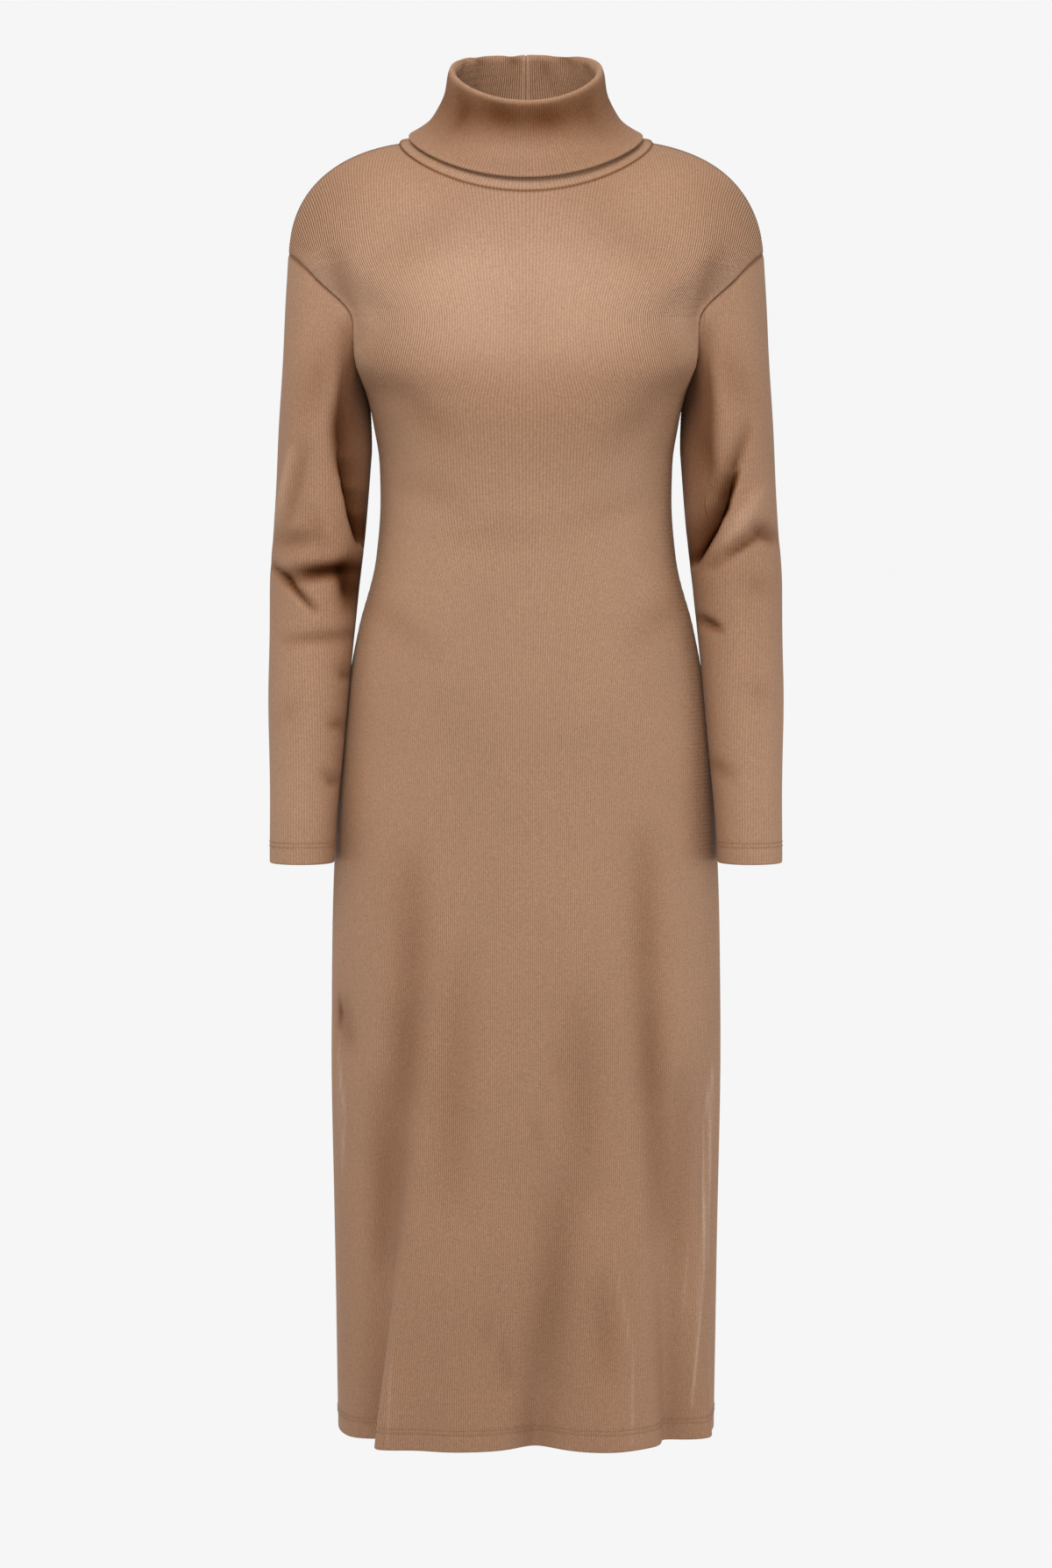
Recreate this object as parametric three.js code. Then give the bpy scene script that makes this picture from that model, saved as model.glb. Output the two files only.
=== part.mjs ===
// A roll-neck midi sweater dress in fine-rib jersey, filled out as if worn, with no wearer.
// Millimetres. +Z is up, the front faces -Y, and +X is the wearer's left.
// The origin lies midway between the two neck points, where the shoulder seams meet the neck seam.
//
// Each piece is a wall of cloth. Its outer face is a grid: rows run round the body or arm, and
// columns run down the cloth as its ribs do. The inner face is the same grid moved inwards.
import * as THREE from "three";

// Cloth
const WALL = 2;
const SEAM_GAP = 0.3;
const HEM_TURN = 20; // the allowance turned up inside the hem and the cuffs
const TURN_WALL = 1.6; // what the turned-up layer adds to the wall
const TURN_STEP = 2; // height over which the wall thickens at the top of the turned-up layer
const CAMEL = 0xab8567;
const ROUGHNESS = 0.92;

// How finely each piece is divided
const NECK_COLUMNS = 18; // across one panel, between its neck points
const SHOULDER_COLUMNS = 9; // along one shoulder seam
const PANEL_COLUMNS = NECK_COLUMNS + 2 * SHOULDER_COLUMNS;
const ARMHOLE_ROWS = 10; // from the shoulder tip to the underarm
const LOWER_ROWS = 21; // from the underarm to the top of the hem turn
const SLEEVE_ROWS = 19;
const SAMPLES = 240; // points along a row, or down a seam, when its length is measured
const SAME_PLACE = 0.01; // points this close at a seam are one

// Where walls meet at an angle, their mitre is longer than the wall is thick, up to a limit.
const MITRE_LIMIT = 1.5;

// The neck seam, an oval that dips at the front. Depths are from the shoulder line.
const NECK = { halfWidth: 113, front: 75, back: 66, zFront: -48, zSide: 0, zBack: 2 };

// The shoulder seam falls in a rounded line from the neck point to the dropped shoulder tip.
const SHOULDER = { neckY: 0, tipX: 212, tipY: 3, tipZ: -99, slope: 0.15 };

// The yoke line runs across each panel a little below its top edge. place goes from 0 at the centre
// to 1 at the armhole, reach is the half width in X for each unit of place, and away is the distance
// from the shoulder line, forwards or backwards.
const YOKE = {
  front: [
    { place: 0, reach: 250, away: 84, z: -78 },
    { place: 0.25, reach: 246, away: 77, z: -68 },
    { place: 0.5, reach: 234, away: 54, z: -41 },
    { place: 0.75, reach: 221.5, away: 34, z: -47 },
    { place: 1, reach: 204.8, away: 22, z: -105 },
  ],
  back: [
    { place: 0, reach: 250, away: 83, z: -17 },
    { place: 0.25, reach: 246, away: 77, z: -16 },
    { place: 0.5, reach: 234, away: 57, z: -18 },
    { place: 0.75, reach: 221.5, away: 38, z: -42 },
    { place: 1, reach: 204.8, away: 28, z: -105 },
  ],
};

// The body's sections, from the chest to the hem. down is measured along the centre front from
// the neck seam. halfWidth is the reach of the seam, and seamFront and seamBack are its places in Y:
// the armhole's two sides above the underarm, and one side seam below it. turn is the angle in
// degrees that the section turns through from centre to seam. square is 2 for an ellipse, and more
// for fuller corners.
const LEVELS = [
  { name: "chest", down: 64, zCentre: -112, zSide: -121, halfWidth: 188, front: 93, back: 97,
    seamFront: -42, seamBack: 46, turn: 62, square: 2 },
  { name: "armhole", down: 117, zCentre: -165, zSide: -160, halfWidth: 153, front: 107, back: 104,
    seamFront: -60, seamBack: 56, turn: 75, square: 2.1 },
  { name: "bust", down: 163, zCentre: -208, zSide: -193, halfWidth: 151, front: 115, back: 100,
    seamFront: -48, seamBack: 44, turn: 88, square: 2.25 },
  { name: "underarm", down: 194, zCentre: -238, zSide: -226, halfWidth: 139.5, front: 117, back: 95,
    seamFront: 0, seamBack: 0, turn: 97, square: 2.25 },
  { name: "below the arm", down: 220, zCentre: -262, zSide: -252, halfWidth: 135.2, front: 114,
    back: 90, seamFront: 0, seamBack: 0, turn: 92, square: 2.2 },
  { name: "under the bust", down: 252, zCentre: -292, zSide: -285, halfWidth: 130.4, front: 108,
    back: 83, seamFront: 0, seamBack: 0, turn: 90, square: 2.15 },
  { name: "waist", down: 284, zCentre: -322, zSide: -318, halfWidth: 129.6, front: 102, back: 79,
    seamFront: 0, seamBack: 0, turn: 90, square: 2.1 },
  { name: "stomach", down: 337, zCentre: -373, zSide: -372, halfWidth: 133.8, front: 98, back: 82,
    seamFront: 0, seamBack: 0, turn: 90, square: 2.1 },
  { name: "high hip", down: 395, zCentre: -430, zSide: -430, halfWidth: 148.5, front: 99, back: 92,
    seamFront: 0, seamBack: 0, turn: 90, square: 2.1 },
  { name: "hip", down: 455, zCentre: -490, zSide: -490, halfWidth: 159.5, front: 102, back: 104,
    seamFront: 0, seamBack: 0, turn: 90, square: 2.1 },
  { name: "seat", down: 565, zCentre: -600, zSide: -600, halfWidth: 169.6, front: 106, back: 118,
    seamFront: 0, seamBack: 0, turn: 90, square: 2.1 },
  { name: "thigh", down: 665, zCentre: -700, zSide: -700, halfWidth: 173.6, front: 110, back: 120,
    seamFront: 0, seamBack: 0, turn: 90, square: 2.1 },
  { name: "above the knee", down: 782, zCentre: -817, zSide: -817, halfWidth: 174.8, front: 115,
    back: 116, seamFront: 0, seamBack: 0, turn: 90, square: 2.2 },
  { name: "knee", down: 941, zCentre: -976, zSide: -976, halfWidth: 172, front: 121, back: 111,
    seamFront: 0, seamBack: 0, turn: 90, square: 2.4 },
  { name: "hem", down: 1120, zCentre: -1155, zSide: -1155, halfWidth: 169.3, front: 128, back: 110,
    seamFront: 0, seamBack: 0, turn: 90, square: 2.6 },
];
const UNDERARM = LEVELS.find((level) => level.name === "underarm");
const HEM = LEVELS[LEVELS.length - 1];

// The skirt's folds. Places across a panel run from -1 at one seam to 1 at the other. A fold starts
// at zTop and grows to its full size at the hem: out is how far it stands out there, or in where it
// is negative, and slide is how far it leans sideways.
const FOLDS = [
  { name: "left tuck", panel: "front", atTop: -0.4, atHem: -0.55, zTop: -760, width: 0.075,
    out: -24, slide: 8 },
  { name: "left panel edge", panel: "front", atTop: -0.33, atHem: -0.435, zTop: -760, width: 0.07,
    out: 20, slide: -8 },
  { name: "left panel", panel: "front", atTop: -0.2, atHem: -0.25, zTop: -820, width: 0.13,
    out: 10, slide: 0 },
  { name: "centre trough", panel: "front", atTop: 0.11, atHem: 0.035, zTop: -930, width: 0.09,
    out: -26, slide: 0 },
  { name: "right panel", panel: "front", atTop: 0.2, atHem: 0.27, zTop: -880, width: 0.12,
    out: 13, slide: 0 },
  { name: "right tuck", panel: "front", atTop: 0.42, atHem: 0.53, zTop: -800, width: 0.065,
    out: -20, slide: 0 },
  { name: "right side", panel: "front", atTop: 0.62, atHem: 0.69, zTop: -900, width: 0.06,
    out: 7, slide: 0 },
  { name: "left tuck behind", panel: "back", atTop: -0.38, atHem: -0.5, zTop: -800, width: 0.09,
    out: -18, slide: 5 },
  { name: "left panel behind", panel: "back", atTop: -0.2, atHem: -0.28, zTop: -820, width: 0.12,
    out: 12, slide: 0 },
  { name: "centre trough behind", panel: "back", atTop: 0.02, atHem: 0.07, zTop: -900, width: 0.09,
    out: -20, slide: 0 },
  { name: "right panel behind", panel: "back", atTop: 0.2, atHem: 0.3, zTop: -860, width: 0.1,
    out: 13, slide: 0 },
  { name: "right tuck behind", panel: "back", atTop: 0.4, atHem: 0.52, zTop: -820, width: 0.07,
    out: -16, slide: -5 },
];
const FOLD_GROWTH = 1.5; // the power by which a fold grows on its way down

// The sleeve's rings below the armhole, for either arm. inner and outer are reaches in X, y is the
// ring's middle, halfDepth is half its size from front to back, and rise is how much higher its
// outer side is than its inner one. along is the distance down the arm from the armhole.
const SLEEVE_RINGS = [
  { name: "biceps", along: 100, z: -262, inner: 138.9, outer: 220.1, y: -3, halfDepth: 53, rise: 30 },
  { name: "above the elbow", along: 180, z: -340, inner: 144.2, outer: 225, y: -7, halfDepth: 48.5,
    rise: 10 },
  { name: "elbow", along: 240, z: -400, inner: 150.5, outer: 228.9, y: -12, halfDepth: 45.5, rise: 2 },
  { name: "forearm", along: 310, z: -470, inner: 157.4, outer: 229.4, y: -22, halfDepth: 41, rise: 0 },
  { name: "lower forearm", along: 390, z: -550, inner: 164.5, outer: 227.6, y: -33, halfDepth: 37.5,
    rise: 0 },
  { name: "wrist", along: 450, z: -610, inner: 170.2, outer: 226.9, y: -40, halfDepth: 35, rise: 0 },
  { name: "cuff", along: 481.5, z: -641.5, inner: 171.8, outer: 227.1, y: -43, halfDepth: 34.5,
    rise: 0 },
];
const CUFF_ALONG = SLEEVE_RINGS[SLEEVE_RINGS.length - 1].along;

// The sleeves' largest creases. around is the angle from the inner side towards the front, in
// degrees, and each crease runs from its first place to its second. depth is inwards.
const CREASE_END = 0.15; // how far into its swell a crease starts and ends, of its whole length
const CREASES = [
  { name: "elbow fold", arm: 1, around: 60, z: -385, around2: 150, z2: -285, width: 15, depth: 6 },
  { name: "forearm fold", arm: 1, around: 90, z: -395, around2: 175, z2: -362, width: 13, depth: 4 },
  { name: "elbow fold behind", arm: 1, around: 210, z: -390, around2: 320, z2: -350, width: 16,
    depth: 4 },
  { name: "elbow fold", arm: -1, around: 30, z: -395, around2: 110, z2: -378, width: 14, depth: 6 },
  { name: "forearm fold", arm: -1, around: 95, z: -415, around2: 170, z2: -375, width: 14, depth: 5 },
  { name: "elbow fold behind", arm: -1, around: 215, z: -380, around2: 330, z2: -360, width: 16,
    depth: 4 },
];

// The roll neck's rings, through the middle of its cloth: up the stand, over the fold and down the
// part that is turned over, to its free edge. Its first ring is the neck seam itself.
const COLLAR_RINGS = [
  { name: "stand, foot", halfWidth: 104, front: 72.5, back: 64, zFront: -40, zSide: 2, zBack: 9 },
  { name: "stand, curve", halfWidth: 95, front: 70.5, back: 64, zFront: -29, zSide: 6, zBack: 19 },
  { name: "stand, low", halfWidth: 84, front: 68, back: 63, zFront: -16, zSide: 11.8, zBack: 32 },
  { name: "stand, middle", halfWidth: 75, front: 65, back: 61.5, zFront: 0, zSide: 26, zBack: 48 },
  { name: "stand, high", halfWidth: 66.5, front: 62, back: 58.5, zFront: 18, zSide: 48, zBack: 67 },
  { name: "stand, top", halfWidth: 63.6, front: 60.5, back: 57, zFront: 27, zSide: 61, zBack: 79 },
  { name: "fold", halfWidth: 66.2, front: 63.2, back: 60, zFront: 31.4, zSide: 66, zBack: 83.6 },
  { name: "turnover, top", halfWidth: 68.8, front: 66, back: 63, zFront: 27, zSide: 61, zBack: 79 },
  { name: "turnover, high", halfWidth: 71.6, front: 67, back: 64.8, zFront: 14, zSide: 44, zBack: 64 },
  { name: "turnover, middle", halfWidth: 78.5, front: 69.5, back: 66.3, zFront: -3, zSide: 28.5,
    zBack: 46 },
  { name: "turnover, low", halfWidth: 86.5, front: 72.5, back: 68, zFront: -17, zSide: 16.8,
    zBack: 31 },
  { name: "turnover, curve", halfWidth: 96, front: 75, back: 69, zFront: -27.5, zSide: 10, zBack: 19.5 },
  { name: "free edge", halfWidth: 104.8, front: 76.3, back: 70.5, zFront: -36.4, zSide: 5.4,
    zBack: 10 },
];

const radians = THREE.MathUtils.degToRad;
const lerp = THREE.MathUtils.lerp;
const clamp = THREE.MathUtils.clamp;

// A smooth curve through one column of a table, which never overshoots its rows.
function through(rows, key, place) {
  const at = rows.map((row) => row[place]);
  const value = rows.map((row) => row[key]);
  const last = rows.length - 1;
  const secant = value.slice(1).map((v, k) => (v - value[k]) / (at[k + 1] - at[k]));
  const slope = value.map((_, k) => {
    const before = secant[Math.max(k - 1, 0)];
    const after = secant[Math.min(k, last - 1)];
    if (before * after <= 0) return 0;
    return (2 * before * after) / (before + after);
  });
  return (x) => {
    const found = at.findIndex((a) => a > x);
    const k = found < 0 ? last - 1 : Math.max(found - 1, 0);
    const span = at[k + 1] - at[k];
    const s = clamp((x - at[k]) / span, 0, 1);
    const rise = value[k + 1] - value[k];
    const cubic = (slope[k] + slope[k + 1]) * span - 2 * rise;
    const square = 3 * rise - (2 * slope[k] + slope[k + 1]) * span;
    return value[k] + s * (slope[k] * span + s * (square + s * cubic));
  };
}

// The columns of a table as one object of smooth curves.
function curves(rows, place) {
  const keys = Object.keys(rows[0]).filter((key) => key !== "name" && key !== place);
  return Object.fromEntries(keys.map((key) => [key, through(rows, key, place)]));
}

// The yoke line's curves run on the square of the place, which keeps them level at the centre.
function yokeCurves(rows) {
  return curves(rows.map((row) => ({ ...row, squared: row.place * row.place })), "squared");
}

const body = curves(LEVELS, "down");
const yoke = { front: yokeCurves(YOKE.front), back: yokeCurves(YOKE.back) };
const arm = curves(SLEEVE_RINGS, "along");

// A point of a unit section at an angle from the centre: an ellipse whose corners can be fuller.
function unitSection(angle, square) {
  const across = Math.sin(angle);
  const deep = Math.cos(angle);
  const reach = (Math.abs(across) ** square + Math.abs(deep) ** square) ** (-1 / square);
  return { across: across * reach, deep: deep * reach };
}

// An oval ring round the neck, at an angle from the centre front. Its height is smooth all round.
function neckRing(ring, angle) {
  const ends = (ring.zFront + ring.zBack) / 2;
  const z =
    (ends + ring.zSide) / 2 +
    ((ring.zFront - ring.zBack) / 2) * Math.cos(angle) +
    ((ends - ring.zSide) / 2) * Math.cos(2 * angle);
  const depth = Math.cos(angle) > 0 ? ring.front : ring.back;
  return new THREE.Vector3(ring.halfWidth * Math.sin(angle), -depth * Math.cos(angle), z);
}

// The angle round the neck of a column, with columns between evenly spread and plumb.
function neckAngle(panel, share) {
  const fromCentre = (share * Math.PI) / 4 + Math.asin(share) / 2;
  return panel === "front" ? fromCentre : Math.PI - fromCentre;
}

// The top edge of a panel: the neck seam over the inner half, the shoulder seam over the outer.
function topEdge(panel, u) {
  const side = Math.sign(u) || 1;
  const place = Math.abs(u) * 2;
  if (place <= 1) {
    const point = neckRing(NECK, neckAngle(panel, place));
    return new THREE.Vector3(side * point.x, point.y, point.z);
  }
  const angle = ((place - 1) * Math.PI) / 2;
  const out = Math.sin(angle);
  const fall = 1 - Math.cos(angle) + SHOULDER.slope * out * (1 - out);
  return new THREE.Vector3(
    side * lerp(NECK.halfWidth, SHOULDER.tipX, out),
    lerp(SHOULDER.neckY, SHOULDER.tipY, out),
    SHOULDER.tipZ * fall,
  );
}

// The body's surface from the chest down, before its folds.
function sectionPoint(panel, u, down) {
  const turn = radians(body.turn(down));
  const square = body.square(down);
  const here = unitSection(Math.abs(u) * turn, square);
  const end = unitSection(turn, square);
  const seam = panel === "front" ? body.seamFront(down) : body.seamBack(down);
  const middle = panel === "front" ? -body.front(down) : body.back(down);
  const deep = (here.deep - end.deep) / (1 - end.deep);
  return new THREE.Vector3(
    (Math.sign(u) * body.halfWidth(down) * here.across) / end.across,
    lerp(seam, middle, deep),
    lerp(body.zCentre(down), body.zSide(down), u * u),
  );
}

// The surface above the chest: a cubic from the top edge, through the yoke line, to the chest.
function yokePoint(panel, u, down) {
  const chest = LEVELS[0].down;
  const step = 1;
  const top = topEdge(panel, u);
  const bottom = sectionPoint(panel, u, chest);
  const forwards = panel === "front" ? -1 : 1;
  const middle = new THREE.Vector3(
    u * yoke[panel].reach(u * u),
    forwards * yoke[panel].away(u * u),
    yoke[panel].z(u * u),
  );
  const upperLength = top.distanceTo(middle);
  const knot = (chest * upperLength) / (upperLength + middle.distanceTo(bottom));
  const upperSlope = middle.clone().sub(top).divideScalar(knot);
  const lowerSlope = bottom.clone().sub(middle).divideScalar(chest - knot);
  const slope = upperSlope.clone().lerp(lowerSlope, knot / chest);
  const first = upperSlope.multiplyScalar(2).sub(slope);
  const leaving = sectionPoint(panel, u, chest + step).sub(bottom).divideScalar(step);
  if (down < knot) return cubic(top, first, middle, slope, knot, down / knot);
  return cubic(middle, slope, bottom, leaving, chest - knot, (down - knot) / (chest - knot));
}

// A cubic between two points with a slope at each, a share of the way along its span.
function cubic(start, startSlope, end, endSlope, span, share) {
  const square = share * share;
  const cube = square * share;
  return new THREE.Vector3()
    .addScaledVector(start, 2 * cube - 3 * square + 1)
    .addScaledVector(startSlope, (cube - 2 * square + share) * span)
    .addScaledVector(end, 3 * square - 2 * cube)
    .addScaledVector(endSlope, (cube - square) * span);
}

// How far the skirt's folds move a point, outwards and sideways.
function foldMove(panel, u, z) {
  const move = { out: 0, slide: 0 };
  for (const fold of FOLDS) {
    if (fold.panel !== panel) continue;
    const fall = clamp((fold.zTop - z) / (fold.zTop - HEM.zCentre), 0, 1);
    const off = (u - lerp(fold.atTop, fold.atHem, fall)) / fold.width;
    const size = fall ** FOLD_GROWTH * Math.exp(-off * off);
    move.out += fold.out * size;
    move.slide += fold.slide * size;
  }
  return move;
}

// A point of a panel's outer face.
function panelPoint(panel, u, down) {
  if (down < LEVELS[0].down) return yokePoint(panel, u, down);
  const point = sectionPoint(panel, u, down);
  const move = foldMove(panel, u, point.z);
  const depth = panel === "front" ? body.front(down) : body.back(down);
  const out = new THREE.Vector3(point.x / body.halfWidth(down) ** 2, point.y / depth ** 2, 0);
  out.normalize();
  const across = new THREE.Vector3(Math.abs(out.y), Math.sign(-point.y) * out.x, 0);
  return point.addScaledVector(out, move.out).addScaledVector(across, move.slide);
}

// The values of a parameter that cut a curve into equal lengths.
function equalSteps(curve, from, to, count) {
  const values = Array.from({ length: SAMPLES + 1 }, (_, k) => lerp(from, to, k / SAMPLES));
  const lengths = [0];
  let before = curve(values[0]);
  for (const value of values.slice(1)) {
    const here = curve(value);
    lengths.push(lengths[lengths.length - 1] + here.distanceTo(before));
    before = here;
  }
  const whole = lengths[SAMPLES];
  return Array.from({ length: count + 1 }, (_, k) => {
    const wanted = (whole * k) / count;
    const found = lengths.findIndex((length) => length >= wanted);
    if (found <= 0) return found < 0 ? to : from;
    const share = (wanted - lengths[found - 1]) / (lengths[found] - lengths[found - 1]);
    return lerp(values[found - 1], values[found], share);
  });
}

// A panel's outer face: even columns at the top edge, and equal widths of cloth from the underarm.
function panelGrid(panel) {
  const armhole = equalSteps((t) => panelPoint(panel, 1, t), 0, UNDERARM.down, ARMHOLE_ROWS);
  const turnTop = HEM.down - HEM_TURN;
  const lower = Array.from({ length: LOWER_ROWS }, (_, k) =>
    lerp(UNDERARM.down, turnTop - TURN_STEP, (k + 1) / LOWER_ROWS),
  );
  const downs = [...armhole, ...lower, turnTop, HEM.down];
  const grid = downs.map((down) => {
    const even = equalSteps((u) => panelPoint(panel, u, down), -1, 1, PANEL_COLUMNS);
    const settled = THREE.MathUtils.smoothstep(down, 0, UNDERARM.down);
    return even.map((u, i) =>
      panelPoint(panel, lerp((2 * i) / PANEL_COLUMNS - 1, u, settled), down),
    );
  });
  const walls = downs.map((down) => (down >= turnTop ? WALL + TURN_WALL : WALL));
  return { grid, walls };
}

// A point of a sleeve's rings, at an angle from the inner side towards the front.
function ringPoint(side, angle, along) {
  const middle = (arm.inner(along) + arm.outer(along)) / 2;
  const half = (arm.outer(along) - arm.inner(along)) / 2;
  return new THREE.Vector3(
    side * (middle - half * Math.cos(angle)),
    arm.y(along) - arm.halfDepth(along) * Math.sin(angle),
    arm.z(along) - (arm.rise(along) / 2) * Math.cos(angle),
  );
}

// How far the creases push a point of a sleeve inwards. Distances are taken on the unrolled arm.
function creaseDepth(side, angle, z, radius) {
  const degrees = THREE.MathUtils.radToDeg(angle);
  let depth = 0;
  for (const crease of CREASES) {
    if (crease.arm !== side) continue;
    const start = new THREE.Vector2(radians(crease.around) * radius, crease.z);
    const end = new THREE.Vector2(radians(crease.around2) * radius, crease.z2);
    const run = end.clone().sub(start);
    const from = new THREE.Vector2(radians(degrees) * radius, z).sub(start);
    const along = clamp(from.dot(run) / run.lengthSq(), 0, 1);
    const off = from.addScaledVector(run, -along).length() / crease.width;
    const swell = Math.sin(Math.PI * lerp(CREASE_END, 1 - CREASE_END, along));
    depth += crease.depth * swell * Math.exp(-off * off);
  }
  return depth;
}

// A sleeve's outer face. Its first ring is the armhole itself, front seam and then back seam.
function sleeveGrid(side, front, back) {
  const edge = side > 0 ? PANEL_COLUMNS : 0;
  const frontSeam = front.grid.slice(0, ARMHOLE_ROWS + 1).map((row) => row[edge]).reverse();
  const backSeam = back.grid.slice(1, ARMHOLE_ROWS).map((row) => row[edge]);
  const loop = [...frontSeam, ...backSeam];
  const angles = loop.map((_, k) => (Math.PI * k) / ARMHOLE_ROWS);
  const first = SLEEVE_RINGS[0].along;
  const second = SLEEVE_RINGS[1].along;
  const turnTop = CUFF_ALONG - HEM_TURN;
  const alongs = Array.from({ length: SLEEVE_ROWS }, (_, k) =>
    ((turnTop - TURN_STEP) * (k + 1)) / SLEEVE_ROWS,
  );
  alongs.push(turnTop, CUFF_ALONG);
  const rings = alongs.map((along) =>
    angles.map((angle, k) => {
      if (along >= first) return creased(side, angle, along);
      const start = loop[k];
      const end = ringPoint(side, angle, first);
      const leaving = ringPoint(side, angle, second).sub(start).multiplyScalar(first / second);
      const s = along / first;
      const straight = start.clone().lerp(end, s);
      const bow = end.clone().sub(start).sub(leaving).multiplyScalar(s * s * (1 - s));
      return straight.add(bow);
    }),
  );
  const walls = [0, ...alongs].map((along) => (along >= turnTop ? WALL + TURN_WALL : WALL));
  return { grid: [loop.map((point) => point.clone()), ...rings], walls };
}

// A ring point with the creases pressed in, towards the middle of the arm.
function creased(side, angle, along) {
  const point = ringPoint(side, angle, along);
  const middle = (side * (arm.inner(along) + arm.outer(along))) / 2;
  const inwards = new THREE.Vector3(middle - point.x, arm.y(along) - point.y, 0);
  const radius = (arm.halfDepth(along) + (arm.outer(along) - arm.inner(along)) / 2) / 2;
  return point.addScaledVector(inwards.normalize(), creaseDepth(side, angle, point.z, radius));
}

// The roll neck's cloth as one grid, from the neck seam to the free edge.
function collarGrid(front, back) {
  const first = SHOULDER_COLUMNS;
  const last = SHOULDER_COLUMNS + NECK_COLUMNS;
  const seam = [
    ...front.grid[0].slice(first, last + 1),
    ...back.grid[0].slice(first + 1, last).reverse(),
  ];
  const half = NECK_COLUMNS / 2;
  const angles = seam.map((_, k) => {
    const fromCentre = k <= NECK_COLUMNS ? k - half : 3 * half - k;
    const panel = k <= NECK_COLUMNS ? "front" : "back";
    return Math.sign(fromCentre) * neckAngle(panel, Math.abs(fromCentre) / half);
  });
  const centreBack = 3 * half;
  angles[centreBack] = Math.PI;
  const rings = COLLAR_RINGS.map((ring) => angles.map((angle) => neckRing(ring, angle)));
  return { grid: [seam.map((point) => point.clone()), ...rings], walls: null };
}

// The unit normals of a grid, outwards on a panel or sleeve whose columns run round clockwise.
function gridNormals(grid, closed, flip) {
  const rows = grid.length;
  const columns = grid[0].length;
  const at = (j, i) => grid[clamp(j, 0, rows - 1)][
    closed ? (i + columns) % columns : clamp(i, 0, columns - 1)
  ];
  return grid.map((row, j) =>
    row.map((_, i) => {
      const across = at(j, i + 1).clone().sub(at(j, i - 1));
      const down = at(j + 1, i).clone().sub(at(j - 1, i));
      return down.cross(across).normalize().multiplyScalar(flip);
    }),
  );
}

// Gives each point that pieces share at a seam one normal, so that their walls meet in a mitre. The
// two panels count as one sheet where a sleeve or the roll neck joins them.
function shareSeamNormals(pieces) {
  const meeting = new Map();
  const key = (p) => [p.x, p.y, p.z].map((v) => Math.round(v / SAME_PLACE)).join(" ");
  for (const piece of pieces) {
    piece.grid.forEach((row, j) =>
      row.forEach((point, i) => {
        const border =
          j === 0 || (!piece.closed && (i === 0 || i === row.length - 1));
        if (!border) return;
        const name = key(point);
        if (!meeting.has(name)) meeting.set(name, []);
        meeting.get(name).push({ normal: piece.normals[j][i], isTube: piece.closed });
      }),
    );
  }
  for (const met of meeting.values()) {
    const shared = new THREE.Vector3();
    for (const isTube of [false, true]) {
      const sheet = met.filter((one) => one.isTube === isTube);
      shared.add(sheet.reduce((sum, one) => sum.add(one.normal), new THREE.Vector3()).normalize());
    }
    shared.normalize();
    const mitre = met.map(({ normal }) => 1 / Math.max(shared.dot(normal), 1 / MITRE_LIMIT));
    met.forEach(({ normal }) => normal.copy(shared).multiplyScalar(Math.max(...mitre)));
  }
}

// How far each border point is drawn back from its seam, square to the seam.
function seamShift(grid, closed) {
  const rows = grid.length;
  const columns = grid[0].length;
  const shift = (point, inside, before, after) => {
    const along = after.clone().sub(before).normalize();
    const inwards = inside.clone().sub(point);
    inwards.addScaledVector(along, -inwards.dot(along));
    return inwards.setLength(SEAM_GAP / 2);
  };
  const moves = grid.map((row) => row.map(() => new THREE.Vector3()));
  for (let i = 0; i < columns; i++) {
    const before = closed ? grid[0][(i + columns - 1) % columns] : grid[0][Math.max(i - 1, 0)];
    const after = closed
      ? grid[0][(i + 1) % columns]
      : grid[0][Math.min(i + 1, columns - 1)];
    moves[0][i].add(shift(grid[0][i], grid[1][i], before, after));
  }
  if (closed) return moves;
  for (let j = 0; j < rows; j++) {
    for (const [i, inside] of [[0, 1], [columns - 1, columns - 2]]) {
      const before = grid[Math.max(j - 1, 0)][i];
      const after = grid[Math.min(j + 1, rows - 1)][i];
      moves[j][i].add(shift(grid[j][i], grid[j][inside], before, after));
    }
  }
  return moves;
}

// A closed wall between an outer and an inner grid of the same size. Each quad is cut along its
// shorter diagonal, so that two pieces cut the face that they share at a seam in the same way.
function wall(outer, inner, closed, flip) {
  const rows = outer.length;
  const columns = outer[0].length;
  const last = closed ? columns : columns - 1;
  const points = [...outer, ...inner].flat();
  const out = (j, i) => j * columns + (i % columns);
  const inn = (j, i) => rows * columns + out(j, i);
  const triangles = [];
  const quad = (...corners) => {
    const [a, b, c, d] = flip > 0 ? corners : corners.reverse();
    if (points[a].distanceTo(points[c]) < points[b].distanceTo(points[d])) {
      triangles.push(a, b, c, a, c, d);
    } else {
      triangles.push(b, c, d, b, d, a);
    }
  };
  for (let j = 0; j < rows - 1; j++) {
    for (let i = 0; i < last; i++) {
      quad(out(j, i), out(j + 1, i), out(j + 1, i + 1), out(j, i + 1));
      quad(inn(j, i), inn(j, i + 1), inn(j + 1, i + 1), inn(j + 1, i));
    }
    if (!closed) {
      quad(out(j, 0), inn(j, 0), inn(j + 1, 0), out(j + 1, 0));
      quad(out(j, last), out(j + 1, last), inn(j + 1, last), inn(j, last));
    }
  }
  for (let i = 0; i < last; i++) {
    quad(out(0, i), out(0, i + 1), inn(0, i + 1), inn(0, i));
    quad(out(rows - 1, i), inn(rows - 1, i), inn(rows - 1, i + 1), out(rows - 1, i + 1));
  }
  const geometry = new THREE.BufferGeometry().setFromPoints(points);
  geometry.setIndex(triangles);
  geometry.computeVertexNormals();
  return geometry;
}

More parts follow.
